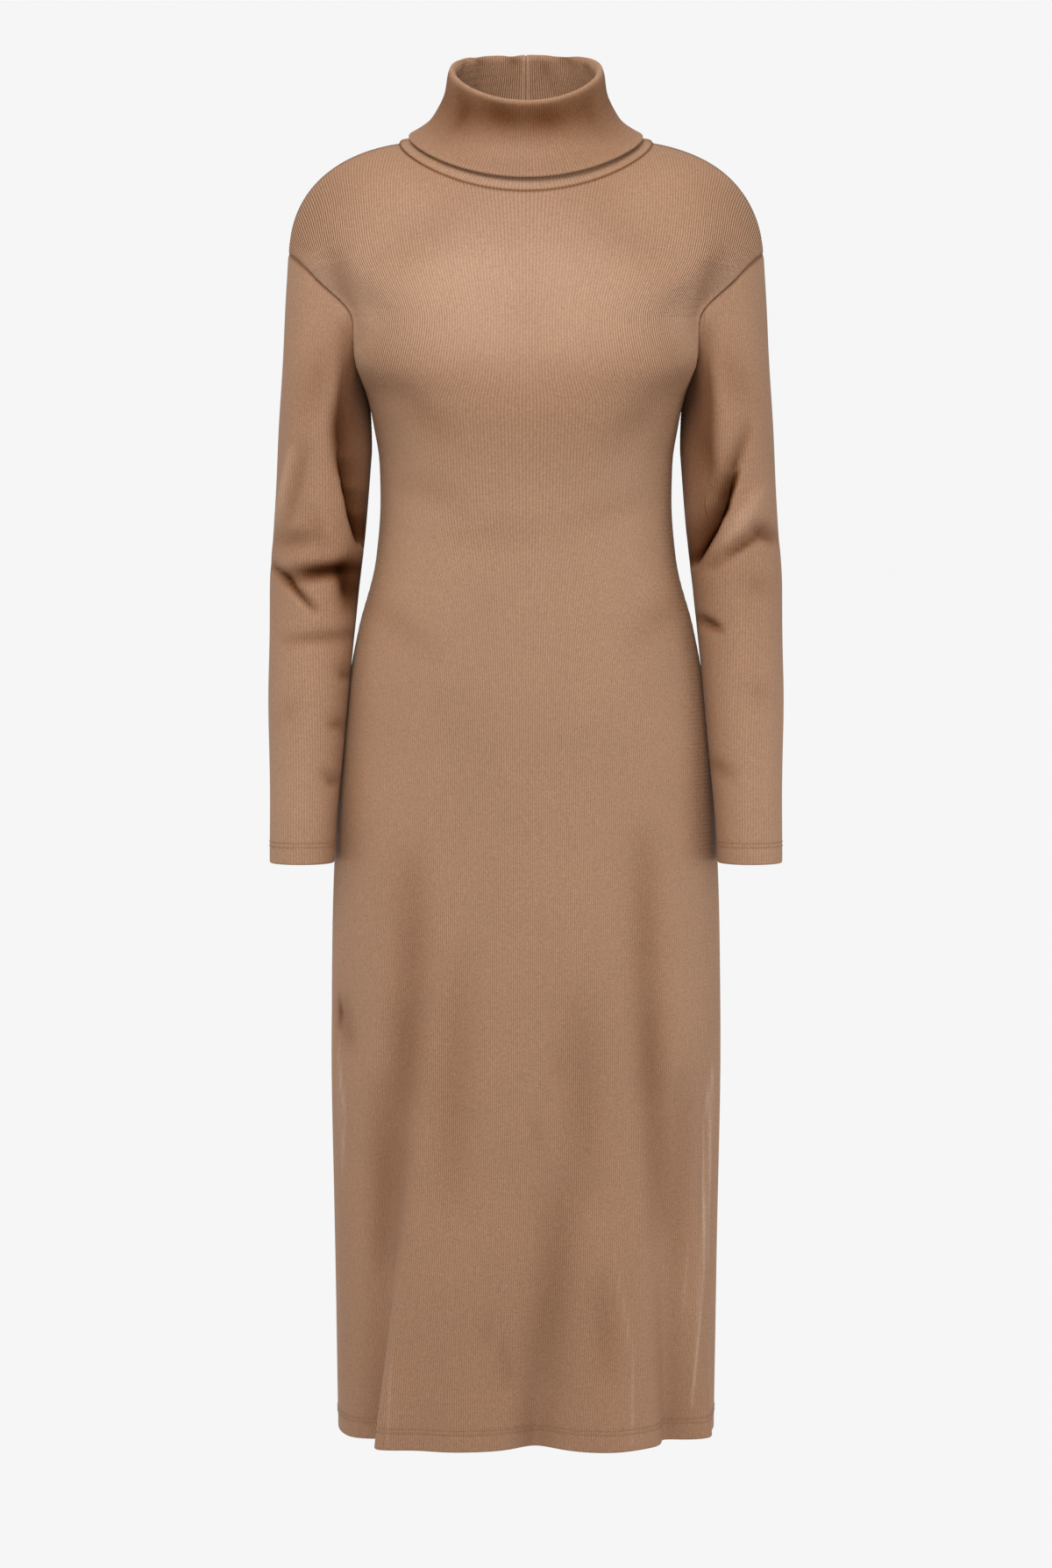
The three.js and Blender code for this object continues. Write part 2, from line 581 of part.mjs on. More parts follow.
function piece(name, shape, closed, flip) {
  return { name, ...shape, closed, flip, normals: gridNormals(shape.grid, closed, flip) };
}

// A panel or a sleeve, with its outer face on the grid and its wall inside it.
function clothMesh(made) {
  const moves = seamShift(made.grid, made.closed);
  const outer = made.grid.map((row, j) => row.map((p, i) => p.clone().add(moves[j][i])));
  const inner = outer.map((row, j) =>
    row.map((p, i) => p.clone().addScaledVector(made.normals[j][i], -made.walls[j])),
  );
  return namedMesh(made.name, wall(outer, inner, made.closed, made.flip));
}

// The roll neck, whose grid is the middle of its cloth but for the seam, which is its outer face.
function collarMesh(made) {
  const moves = seamShift(made.grid, made.closed);
  const face = (side) =>
    made.grid.map((row, j) =>
      row.map((p, i) => {
        const reach = j === 0 ? (side - 1) * (WALL / 2) : side * (WALL / 2);
        return p.clone().add(moves[j][i]).addScaledVector(made.normals[j][i], reach);
      }),
    );
  return namedMesh(made.name, wall(face(1), face(-1), made.closed, made.flip));
}

function namedMesh(name, geometry) {
  const material = new THREE.MeshStandardMaterial({ color: CAMEL, roughness: ROUGHNESS, metalness: 0 });
  const mesh = new THREE.Mesh(geometry, material);
  mesh.name = name;
  return mesh;
}

const front = piece("front", panelGrid("front"), false, 1);
const back = piece("back", panelGrid("back"), false, -1);
const sleeves = [
  piece("sleeve_left", sleeveGrid(1, front, back), true, 1),
  piece("sleeve_right", sleeveGrid(-1, front, back), true, -1),
];
const collar = piece("roll_neck", collarGrid(front, back), true, -1);
shareSeamNormals([front, back, ...sleeves, collar]);

const dress = new THREE.Group();
dress.add(clothMesh(front), clothMesh(back), ...sleeves.map(clothMesh), collarMesh(collar));

export default dress;
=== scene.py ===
# %% [markdown]
# # A roll-neck sweater dress in fine-rib knit
# The dress is filled out as if worn, with no wearer. It is sewn from five pieces: a front, a back,
# two sleeves and a roll neck. Each piece is made here as one thin sheet of cloth that lies on the
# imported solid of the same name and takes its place.
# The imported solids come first, because every sheet has to keep to their size and place.

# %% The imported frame
import math
import bmesh
import bpy
import numpy as np
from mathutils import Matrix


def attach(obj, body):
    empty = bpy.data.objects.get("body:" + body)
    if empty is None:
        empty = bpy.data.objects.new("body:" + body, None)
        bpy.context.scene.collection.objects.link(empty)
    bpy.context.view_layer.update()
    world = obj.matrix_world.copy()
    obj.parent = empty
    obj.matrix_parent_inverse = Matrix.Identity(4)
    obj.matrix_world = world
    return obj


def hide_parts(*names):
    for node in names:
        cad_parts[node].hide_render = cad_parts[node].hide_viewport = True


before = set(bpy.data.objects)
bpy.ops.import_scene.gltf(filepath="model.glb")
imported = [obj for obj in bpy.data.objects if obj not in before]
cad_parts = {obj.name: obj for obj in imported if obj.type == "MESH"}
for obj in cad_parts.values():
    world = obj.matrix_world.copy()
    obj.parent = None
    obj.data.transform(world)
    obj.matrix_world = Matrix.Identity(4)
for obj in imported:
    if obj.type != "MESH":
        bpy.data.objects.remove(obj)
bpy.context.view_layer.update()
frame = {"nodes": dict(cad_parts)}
print("solids:", ", ".join(frame["nodes"]))

# %% [markdown]
# ## Units and tables
# A maker of clothes works in millimetres, so the sizes below are in millimetres and are turned
# into metres at the end. A short table gives a measurement at a few places, and a smooth curve
# runs through it. A curve that never overshoots its rows is the safe choice here, because a bump
# between two rows would show as a ridge in the cloth.

# %% Smooth curves through a table
METRE = 0.001


def curve(places, values):
    """A smooth curve through a row of values, which never overshoots them."""
    places, values = np.array(places, float), np.array(values, float)
    secant = np.diff(values) / np.diff(places)
    before, after = np.r_[secant[:1], secant], np.r_[secant, secant[-1:]]
    same_way = before * after > 0
    slope = np.where(same_way, 2 * before * after / np.where(same_way, before + after, 1), 0)

    def at(x):
        k = np.clip(np.searchsorted(places, x, side="right") - 1, 0, len(places) - 2)
        span = places[k + 1] - places[k]
        s = np.clip((x - places[k]) / span, 0, 1)
        rise = values[k + 1] - values[k]
        cubic = (slope[k] + slope[k + 1]) * span - 2 * rise
        square = 3 * rise - (2 * slope[k] + slope[k + 1]) * span
        return values[k] + s * (slope[k] * span + s * (square + s * cubic))

    return at


def table(columns, *rows):
    """Named curves, one for each column after the first, which gives the rows' places."""
    names = columns.split()
    values = np.array(rows, float).T
    return {name: curve(values[0], column) for name, column in zip(names[1:], values[1:])}


def mix(a, b, share):
    return a + (b - a) * share


def ease(x, start, end):
    s = np.clip((x - start) / (end - start), 0, 1)
    return s * s * (3 - 2 * s)


def places(*xyz):
    return np.stack(np.broadcast_arrays(*xyz), axis=-1)


def length(vectors):
    return np.linalg.norm(vectors, axis=-1, keepdims=True)


# %% [markdown]
# ## The body's form
# A dress on a body is a tube whose section changes on its way down: wide and shallow at the
# chest, round and small at the waist, and nearly square at the hem. It could be sculpted freehand,
# but the sheet has to lie on its solid, so it follows the same measured sections. Places across a
# panel run from -1 at one seam to 1 at the other, and down is measured along the centre front.

# %% The body's sections
NECK = dict(half_width=113, front=75, back=66, z_front=-48, z_side=0, z_back=2)
TIP = dict(x=212, y=3, z=-99, slope=0.15)
YOKE = {
    "front": table("squared reach away z", (0, 250, 84, -78), (0.0625, 246, 77, -68),
                   (0.25, 234, 54, -41), (0.5625, 221.5, 34, -47), (1, 204.8, 22, -105)),
    "back": table("squared reach away z", (0, 250, 83, -17), (0.0625, 246, 77, -16),
                  (0.25, 234, 57, -18), (0.5625, 221.5, 38, -42), (1, 204.8, 28, -105)),
}
BODY = table(
    "down z_centre z_side half_width front back seam_front seam_back turn square",
    (64, -112, -121, 188, 93, 97, -42, 46, 62, 2),
    (117, -165, -160, 153, 107, 104, -60, 56, 75, 2.1),
    (163, -208, -193, 151, 115, 100, -48, 44, 88, 2.25),
    (194, -238, -226, 139.5, 117, 95, 0, 0, 97, 2.25),
    (220, -262, -252, 135.2, 114, 90, 0, 0, 92, 2.2),
    (252, -292, -285, 130.4, 108, 83, 0, 0, 90, 2.15),
    (284, -322, -318, 129.6, 102, 79, 0, 0, 90, 2.1),
    (337, -373, -372, 133.8, 98, 82, 0, 0, 90, 2.1),
    (395, -430, -430, 148.5, 99, 92, 0, 0, 90, 2.1),
    (455, -490, -490, 159.5, 102, 104, 0, 0, 90, 2.1),
    (565, -600, -600, 169.6, 106, 118, 0, 0, 90, 2.1),
    (665, -700, -700, 173.6, 110, 120, 0, 0, 90, 2.1),
    (782, -817, -817, 174.8, 115, 116, 0, 0, 90, 2.2),
    (941, -976, -976, 172, 121, 111, 0, 0, 90, 2.4),
    (1120, -1155, -1155, 169.3, 128, 110, 0, 0, 90, 2.6),
)
CHEST_DOWN, UNDERARM_DOWN, HEM_DOWN, HEM_Z = 64, 194, 1120, -1155


def unit_section(angle, square):
    across, deep = np.sin(angle), np.cos(angle)
    reach = (np.abs(across) ** square + np.abs(deep) ** square) ** (-1 / square)
    return across * reach, deep * reach


def neck_ring(ring, angle):
    ends = (ring["z_front"] + ring["z_back"]) / 2
    z = ((ends + ring["z_side"]) / 2 + (ring["z_front"] - ring["z_back"]) / 2 * np.cos(angle)
         + (ends - ring["z_side"]) / 2 * np.cos(2 * angle))
    depth = np.where(np.cos(angle) > 0, ring["front"], ring["back"])
    return places(ring["half_width"] * np.sin(angle), -depth * np.cos(angle), z)


def neck_angle(share):
    return share * math.pi / 4 + np.arcsin(np.clip(share, 0, 1)) / 2


def top_edge(panel, u):
    """The neck seam over a panel's inner half, and the shoulder seam over its outer half."""
    side, place = np.where(u < 0, -1, 1), np.abs(u) * 2
    angle = neck_angle(np.minimum(place, 1))
    neck = neck_ring(NECK, angle if panel == "front" else math.pi - angle)
    turn = np.clip(place - 1, 0, 1) * math.pi / 2
    out = np.sin(turn)
    fall = 1 - np.cos(turn) + TIP["slope"] * out * (1 - out)
    shoulder = places(mix(NECK["half_width"], TIP["x"], out), TIP["y"] * out, TIP["z"] * fall)
    edge = np.where(place[..., None] <= 1, neck, shoulder)
    return edge * places(side, 1, 1)


def section(panel, u, down):
    """The body's surface from the chest down, before its folds."""
    turn, square = np.radians(BODY["turn"](down)), BODY["square"](down)
    across, deep = unit_section(np.abs(u) * turn, square)
    end_across, end_deep = unit_section(turn, square)
    seam = BODY["seam_front" if panel == "front" else "seam_back"](down)
    middle = -BODY["front"](down) if panel == "front" else BODY["back"](down)
    return places(
        np.sign(u) * BODY["half_width"](down) * across / end_across,
        mix(seam, middle, (deep - end_deep) / (1 - end_deep)),
        mix(BODY["z_centre"](down), BODY["z_side"](down), u * u),
    )


def cubic(start, start_slope, end, end_slope, span, share):
    square, cube = share ** 2, share ** 3
    return (start * (2 * cube - 3 * square + 1) + start_slope * (cube - 2 * square + share) * span
            + end * (3 * square - 2 * cube) + end_slope * (cube - square) * span)


def yoke(panel, u, down):
    """The surface above the chest: from the top edge, through the yoke line, to the chest."""
    top, bottom = top_edge(panel, u), section(panel, u, np.full_like(down, CHEST_DOWN))
    line, forwards = YOKE[panel], -1 if panel == "front" else 1
    middle = places(u * line["reach"](u * u), forwards * line["away"](u * u), line["z"](u * u))
    above, below = length(middle - top), length(bottom - middle)
    knot = CHEST_DOWN * above / (above + below)
    upper, lower = (middle - top) / knot, (bottom - middle) / (CHEST_DOWN - knot)
    slope = mix(upper, lower, knot / CHEST_DOWN)
    leaving = section(panel, u, np.full_like(down, CHEST_DOWN + 1)) - bottom
    at = down[..., None]
    return np.where(
        at < knot,
        cubic(top, 2 * upper - slope, middle, slope, knot, at / knot),
        cubic(middle, slope, bottom, leaving, CHEST_DOWN - knot, (at - knot) / (CHEST_DOWN - knot)),
    )


print("hem, mm wide and deep:", 2 * BODY["half_width"](HEM_DOWN),
      BODY["front"](HEM_DOWN) + BODY["back"](HEM_DOWN))

# %% [markdown]
# ## The skirt's folds
# Below the hips the skirt is wider than what it hangs from, so the spare cloth falls in a few long
# soft folds: two tucks beside a middle panel, and one trough down the centre. They start at the
# thigh and grow to the hem. A simulation would put them somewhere else each time a size changes,
# so each one is listed, as a swell across the panel that widens on its way down.

# %% Fold table and the panels' surface
FOLDS = {
    # at the top and at the hem (place across), z where it starts, width, out at the hem, slide
    "front": [
        (-0.4, -0.55, -760, 0.075, -24, 8), (-0.33, -0.435, -760, 0.07, 20, -8),
        (-0.2, -0.25, -820, 0.13, 10, 0), (0.11, 0.035, -930, 0.09, -26, 0),
        (0.2, 0.27, -880, 0.12, 13, 0), (0.42, 0.53, -800, 0.065, -20, 0),
        (0.62, 0.69, -900, 0.06, 7, 0),
    ],
    "back": [
        (-0.38, -0.5, -800, 0.09, -18, 5), (-0.2, -0.28, -820, 0.12, 12, 0),
        (0.02, 0.07, -900, 0.09, -20, 0), (0.2, 0.3, -860, 0.1, 13, 0),
        (0.4, 0.52, -820, 0.07, -16, -5),
    ],
}
FOLD_GROWTH = 1.5


def panel_surface(panel, u, down):
    """Places on a panel's outer face, from places across it and distances down it."""
    u, down = np.broadcast_arrays(np.asarray(u, float), np.asarray(down, float))
    low = section(panel, u, np.maximum(down, CHEST_DOWN))
    move, slide = 0, 0
    for at_top, at_hem, z_top, width, out, lean in FOLDS[panel]:
        fall = np.clip((z_top - low[..., 2]) / (z_top - HEM_Z), 0, 1)
        size = fall ** FOLD_GROWTH * np.exp(-((u - mix(at_top, at_hem, fall)) / width) ** 2)
        move, slide = move + out * size, slide + lean * size
    depth = BODY["front" if panel == "front" else "back"](down)
    out = places(low[..., 0] / BODY["half_width"](down) ** 2, low[..., 1] / depth ** 2, 0)
    out = out / length(out)
    across = places(np.abs(out[..., 1]), np.sign(-low[..., 1]) * out[..., 0], 0)
    low = low + out * np.asarray(move)[..., None] + across * np.asarray(slide)[..., None]
    high = yoke(panel, u, np.minimum(down, CHEST_DOWN))
    return np.where(down[..., None] < CHEST_DOWN, high, low)


# %% [markdown]
# ## Spreading the knit
# The ribs of a knit are its wales: columns of stitches that run down the cloth. A panel has the
# same wales at its hem and its waist, so they crowd together where the dress is narrow, and the
# ones that don't fit end on the side seam, as they do where the cloth was cut. The grid of each
# sheet is therefore laid out by wale, not by distance: that alone makes the lines bend as in the
# real thing. The wales are 2.0 to 2.8 mm apart, as on the real dress, and three columns of the grid
# make one of them: two on its round back and one in the groove beside it.

# %% Wales across a panel
COLUMNS_PER_WALE = 3
SAMPLES = 240
HALF_PANEL_WALES = curve((0, 64, 117, 163, 194, 284, 455, 782, 1120),
                         (92, 86, 80, 77, 76, 71, 108, 128, 136))
PANEL_WALES = int(HALF_PANEL_WALES(HEM_DOWN))
CROWDING = 0.16  # how much wider the wales are at the centre than on average, higher up
SHOULDER_LEAN = 0.5  # how far the shoulder's wales move out, to run straight to the armpit


def even_places(surface, row, low, high, shares):
    """The parameters at which a row of a surface is cut into these shares of its length."""
    steps = np.linspace(low, high, SAMPLES + 1)
    line = surface(steps, np.full_like(steps, row))
    along = np.r_[0, np.cumsum(length(np.diff(line, axis=0))[:, 0])]
    return np.interp(shares * along[-1], along, steps), along[-1]


def wale_places(panel, downs, wales):
    """For each row and each wale: the place across the panel, and the distance to its side seam."""
    across, to_seam = [], []
    for down in downs:
        share = np.clip(wales / HALF_PANEL_WALES(down), -1, 1)
        crowd = CROWDING * (1 - ease(down, UNDERARM_DOWN, HEM_DOWN / 2))
        share = share * (1 + crowd * (1 - np.abs(share)))
        yoke_share = np.clip(down / CHEST_DOWN, 0, 1)
        lean = SHOULDER_LEAN * 4 * yoke_share * (1 - yoke_share)
        share = share * (1 + lean * np.abs(share) ** 3 * (1 - np.abs(share)))
        even, whole = even_places(lambda u, d: panel_surface(panel, u, d), down, -1, 1,
                                  (share + 1) / 2)
        across.append(mix(share, even, ease(down, 0, UNDERARM_DOWN)))
        to_seam.append((1 - np.abs(share)) * whole / 2)
    return np.array(across), np.array(to_seam)


print("wales drawn across a panel at the hem:", 2 * PANEL_WALES)

# %% [markdown]
# ## Relief: ribs, seams and creases
# Three things move the cloth off its smooth form. Each rib stands a few tenths of a millimetre
# proud, less where the cloth is pulled wide and more where it is slack. Beside a seam the cloth
# swells, and on the seam itself it is held down. Creases are short soft troughs, laid out by their
# two ends on the cloth. All of it is a height along the surface's own normal, so it works the same
# on a panel, a sleeve or the roll neck. A mark without height is a tone: how bright the cloth is
# there, as a share of its own colour. Most tones are painted shade: in the folds, in the grooves
# between ribs, under the roll neck and across the bust; some are painted highlights on raised
# lines.

# %% Heights and normals
RIB_HEIGHT = 0.17
RIB_SPACING = 2.5  # where a rib has that height
SEAM_SWELL = 0.8
SEAM_REACH = 1.5
SEAM_SHADE = 0.3  # how much darker the cloth is on a seam, where it is pinched
FOLD_SHADE = 0.04  # painted shade: how much darker the cloth is for each millimetre of a fold's depth


def normals(surface, a, b, step_a, step_b, limits):
    """Unit normals of a surface, from small steps either way in its two parameters, turned so that
    those of its last row point away from the row's middle."""
    (a0, a1), (b0, b1) = limits
    da = surface(np.minimum(a + step_a, a1), b) - surface(np.maximum(a - step_a, a0), b)
    db = surface(a, np.minimum(b + step_b, b1)) - surface(a, np.maximum(b - step_b, b0))
    normal = np.cross(da, db)
    normal = normal / np.maximum(length(normal), 1e-9)
    last = surface(a[-1], b[-1])
    return normal * np.sign(np.sum(normal[-1] * (last - last.mean(axis=0))))


def seam_hold(distance, reach=SEAM_REACH):
    """0 on a seam, and 1 away from it."""
    return 1 - np.exp(-(distance / reach) ** 2)


def rib(wales, base):
    """The height of the ribs on a grid of places with these wales: low where they lie far apart."""
    spacing = length(np.gradient(base, axis=1))[..., 0] * COLUMNS_PER_WALE
    relief = np.clip(RIB_SPACING / np.maximum(spacing, 1), 0.8, 1.45) ** 4
    return -RIB_HEIGHT * relief * np.cos(2 * math.pi * wales)


def groove_shade(wales, depth):
    """How bright ribs are with painted shade in the grooves between them, as where the cloth is
    slack.
    """
    return 1 - depth * (0.25 + 0.75 * np.cos(2 * math.pi * wales))


def uneven(x, z, size):
    """The slight waviness of cloth that hangs free, smooth and the same on each run."""
    waves = ((0.021, 0.013, 0.4), (-0.034, 0.027, 2.1), (0.052, -0.019, 4.4), (0.013, 0.047, 5.2))
    return size * sum(np.sin(kx * x + kz * z + turn) for kx, kz, turn in waves) / len(waves)


def creases(rows, x, z):
    """Depth inwards of soft troughs. Each row is x, z, x2, z2, one width or two, and depth. Two
    widths are those to the left and to the right, going from the first end to the second."""
    depth = np.zeros(np.broadcast(x, z).shape)
    for x1, z1, x2, z2, *widths, deep in rows:
        run = np.array((x2 - x1, z2 - z1), float)
        share = np.clip(((x - x1) * run[0] + (z - z1) * run[1]) / (run @ run), 0, 1)
        left = run[0] * (z - z1) > run[1] * (x - x1)
        off = np.hypot(x - x1 - share * run[0], z - z1 - share * run[1])
        off = off / np.where(left, widths[0], widths[-1])
        depth += deep * np.sin(math.pi * mix(0.15, 0.85, share)) * np.exp(-off ** 2)
    return depth


def seam_tone(distance):
    """How bright the cloth is beside a seam, as a share of its own colour."""
    return 1 - SEAM_SHADE * np.exp(-(distance / SEAM_REACH) ** 2)


# %% [markdown]
# ## A sheet from a grid
# Blender can make a flat grid in one step. Each of its corners knows its column and row, so it can
# be carried to its place on the dress. The column and row also become the sheet's UV map, which
# the knit pattern follows later. Corners that meet on a seam are merged at the end.

# %% Making one sheet of cloth
def sheet_of(name, place, wales, rows_mm, tone):
    """A mesh object whose grid corners lie at place[row, column], in millimetres, with the tone of
    each corner as a share of the cloth's own colour."""
    rows, columns = place.shape[:2]
    bm = bmesh.new()
    bmesh.ops.create_grid(bm, x_segments=columns - 1, y_segments=rows - 1, size=1.0)
    mesh = bpy.data.meshes.new(name)
    bm.to_mesh(mesh)
    bm.free()
    corner = np.empty(len(mesh.vertices) * 3)
    mesh.vertices.foreach_get("co", corner)
    corner = corner.reshape(-1, 3)
    column = np.rint((corner[:, 0] + 1) / 2 * (columns - 1)).astype(int)
    row = np.rint((1 - corner[:, 1]) / 2 * (rows - 1)).astype(int)
    mesh.vertices.foreach_set("co", (place[row, column] * METRE).ravel())
    mesh.attributes.new("tone", "FLOAT", "POINT").data.foreach_set("value", tone[row, column])
    loops = np.empty(len(mesh.loops), int)
    mesh.loops.foreach_get("vertex_index", loops)
    uv = np.stack((wales[column[loops]], rows_mm[row[loops]]), axis=-1)
    mesh.uv_layers.new(name="knit").data.foreach_set("uv", uv.ravel())
    bm = bmesh.new()
    bm.from_mesh(mesh)
    bmesh.ops.remove_doubles(bm, verts=bm.verts, dist=1e-5)
    for face in bm.faces:
        face.smooth = True
    bm.to_mesh(mesh)
    bm.free()
    piece = bpy.data.objects.new(name, mesh)
    bpy.context.collection.objects.link(piece)
    print(name, "faces:", len(mesh.polygons))
    return piece


# %% [markdown]
# ## Hems
# The hem and the cuffs are the cloth itself, turned up inside and held by a twin-needle stitch.
# The sheet's grid simply goes on past the edge: round a small fold and back up inside. That gives
# the edge its real thickness, with nothing added.

# %% Rows of a sheet that ends in a turned-up hem
HEM_TURN = 20
FOLD_RADIUS = 1.3
STITCH_LINES = (15.3, 19.0)  # above the edge
STITCH_DIP = 0.2
ABOVE_HEM = 30  # where the close rows of a hem start


def hemmed_rows(plain):
    """Distances along the cloth's form, and how far inside it each row lies."""
    end = plain[-1] + ABOVE_HEM
    near = (26, 23, 21, 20, 19, 18, 17.1, 16.2, 15.3, 14.4, 13, 10, 7, 4, 2.4)
    down = np.r_[plain, end - np.array(near)]
    turn = np.radians((0, 36, 72, 108, 144, 180))
    fold = end - FOLD_RADIUS + FOLD_RADIUS * np.sin(turn)
    inner = end - np.array((2.4, 7, 14, HEM_TURN))
    rows = np.r_[down, fold, inner]
    inset = np.r_[0 * down, FOLD_RADIUS * (1 - np.cos(turn)), np.full(len(inner), 2 * FOLD_RADIUS)]
    return rows, inset


def stitch_dip(from_edge, outside):
    """The two grooves that the stitches pull into the outside of a hem."""
    dip = sum(np.exp(-((from_edge - line) / 0.9) ** 2) for line in STITCH_LINES)
    return np.where(outside, STITCH_DIP * dip, 0)


# %% [markdown]
# ## Front and back
# The two panels are the same but for their depths and their neckline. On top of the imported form
# the front gets the marks that the photograph shows: soft drag lines from the bust to the waist,
# a dimple at the left hip and faint wrinkles in the skirt. The back isn't shown, so it gets
# similar ones of its own: hollows at the small of the back and under the shoulder blades.

# %% Panel creases and the two panels
PAINTED_LIGHT_LINES = {
    # x, z, x2, z2, width, and how much paler the cloth is painted along a raised line, a painted
    # highlight; the negative one is painted shade in the hip's dimple
    "front": [
        (168, -822, 159, -868, 1.1, 0.20), (159, -868, 157, -1010, 1.1, 0.22),
        (164, -850, 162, -1005, 1.0, 0.16), (157, -1010, 147, -1125, 1.1, 0.18),
        (144, -985, 139, -1040, 1.1, 0.08), (-168, -812, -160, -870, 1.1, 0.18),
        (-160, -870, -165, -925, 1.0, 0.14), (-118, -1075, -122, -1150, 1.2, 0.10),
        (78, -990, 94, -1070, 1.4, 0.08), (94, -1070, 93, -1150, 1.2, 0.10),
        (-167, -772, -169, -792, 2.0, -0.3),
    ],
    "back": [(-160, -850, -152, -1040, 1.1, 0.15), (162, -880, 156, -1090, 1.1, 0.14)],
}
PANEL_CREASES = {
    "front": [
        # x, z, x2, z2, width, depth
        (-118, -215, -70, -262, 13, 1.6), (120, -222, 78, -268, 14, 1.5),
        (-112, -300, -52, -326, 11, 1.1), (108, -318, 40, -338, 12, 1.0),
        (-70, -352, 20, -346, 14, 0.8), (-138, -410, -84, -452, 14, 1.2),
        (142, -404, 96, -440, 14, 1.2), (-166, -770, -158, -800, 9, 3.2),
        (-100, -640, -104, -840, 17, 2.8), (-108, -780, -122, -980, 15, 2.6),
        (-58, -730, -66, -930, 18, 1.8), (104, -620, 110, -830, 15, 2.8),
        (110, -780, 118, -960, 13, 2.8), (46, -760, 52, -920, 18, 1.6),
        (32, -930, 16, -1080, 18, 2.2), (-24, -1062, -12, -1082, 5, 1.2),
        (-30, -1078, -8, -1092, 5, 1.0), (-44, -1040, -28, -1052, 5, 1.0),
        (66, -1010, 74, -1090, 13, 1.8), (20, -800, 34, -822, 6, 0.8), (6, -860, 14, -890, 6, 0.8),
        (-132, -840, -128, -1010, 12, 1.6), (140, -830, 136, -1000, 12, 1.6),
        (168, -824, 157, -1010, 2.6, -1.6), (161, -866, 155, -1010, 3, 1.0),
        (158, -950, 147, -1125, 2.6, -1.4), (-168, -824, -163, -905, 2.6, -1.4),
        (-170, -108, -150, -172, 12, 9, 3.0), (168, -104, 148, -170, 12, 9, 3.0),
        (0, -128, 8, -190, 22, 0.7), (-60, -60, -128, -128, 22, 1.2), (62, -60, 130, -130, 22, 1.2),
    ],
    "back": [
        (-108, -300, -30, -322, 12, 1.8), (106, -312, 26, -330, 12, 1.6),
        (-60, -345, 44, -350, 13, 1.4), (-118, -262, -70, -286, 14, 1.4),
        (120, -268, 74, -284, 14, 1.3), (-136, -402, -92, -430, 14, 1.2),
        (138, -408, 96, -436, 14, 1.2), (-70, -660, -78, -860, 18, 1.6),
        (74, -680, 84, -880, 18, 1.6), (-20, -740, -12, -900, 20, 1.2),
        (-64, -90, -110, -160, 20, 1.2), (64, -92, 112, -158, 20, 1.2), (0, -60, 2, -150, 20, 0.8),
        (126, -900, 130, -1040, 14, 1.5), (-128, -880, -132, -1030, 14, 1.5),
    ],
}
SEAM_ROWS = (0, 0.8, 1.8, 3.2, 5.4)  # close rows, where a sheet starts on a seam
SKIRT_FLAT = 0.6  # how much lower the ribs are below the hips, drawn out by the skirt's weight
HIPS = (400, 640)  # down: where that sets in
SLACK_REACH = 70  # how far from the armhole the cloth is slack, so that its ribs stand out
SLACK_ENDS = (150, 240)  # down: where that ends, under the arm
SLACK_RIB = 1.3  # by how much higher they stand there
SLACK_GROOVE_SHADE = 0.34  # and how much darker painted shade makes the grooves between them
# A panel's tone down its length, painted shade: a little darker under the roll neck and across the
# bust.
PANEL_SHADE = curve((0, 30, 70, 120, 185, 290, 900, 1120),
                   (0.91, 0.94, 1, 0.99, 0.91, 0.98, 1, 0.99))
UPPER_ROWS = np.arange(9.4, 465, 9.4)
PANEL_ROWS = np.r_[SEAM_ROWS, UPPER_ROWS, np.linspace(470, HEM_DOWN - ABOVE_HEM, 33)]


def make_panel(panel):
    wales = np.arange(-PANEL_WALES * COLUMNS_PER_WALE, PANEL_WALES * COLUMNS_PER_WALE + 1)
    wales = wales / COLUMNS_PER_WALE
    downs, inset = hemmed_rows(PANEL_ROWS)
    u, to_seam = wale_places(panel, downs, wales)
    down = np.broadcast_to(downs[:, None], u.shape)

    def surface(a, b):
        return panel_surface(panel, a, b)

    base = surface(u, down)
    out = normals(surface, u, down, 0.004, 2.0, ((-1, 1), (0, HEM_DOWN)))
    outside = (inset == 0)[:, None]
    hold = seam_hold(to_seam) * seam_hold(down)
    x, z = base[..., 0], base[..., 2]
    slack = np.exp(-(to_seam / SLACK_REACH) ** 2) * (1 - ease(down, *SLACK_ENDS))
    slack = slack * seam_hold(to_seam, 4)
    flat = 1 - SKIRT_FLAT * ease(down, *HIPS)
    height = (rib(wales, base) * (flat + SLACK_RIB * slack) + SEAM_SWELL) * hold
    height = height + uneven(x, z, 1.0) * seam_hold(to_seam, 30)
    folds = creases(PANEL_CREASES[panel], x, z) * seam_hold(to_seam, 6)
    height = height - folds
    height = height - stitch_dip(HEM_DOWN - down, outside) - inset[:, None]
    place = base + out * height[..., None]
    # The tone: seams darker, painted highlights on raised lines, painted shade in the grooves, down
    # the panel and in the folds.
    tone = seam_tone(to_seam) * seam_tone(down) + creases(PAINTED_LIGHT_LINES[panel], x, z)
    tone = tone * groove_shade(wales, SLACK_GROOVE_SHADE * slack) * PANEL_SHADE(down) - FOLD_SHADE * folds
    return sheet_of(panel + "_cloth", place, wales, downs, tone), place, out, downs


cloth_front, *front_grid = make_panel("front")
cloth_back, *back_grid = make_panel("back")

# %% [markdown]
# ## Sleeves
# A sleeve is a tapering tube that hangs from the dropped shoulder. Its top edge is the armhole,
# which the panels' sides give. It is closed by one seam under the arm, where the outer wales end
# as the sleeve narrows. The deep creases at the elbow come from an arm that is a little bent, and
# they differ from side to side, as in the photograph. Each is laid out as seen from the front or
# from behind, by its distance from the middle of the dress and its height.

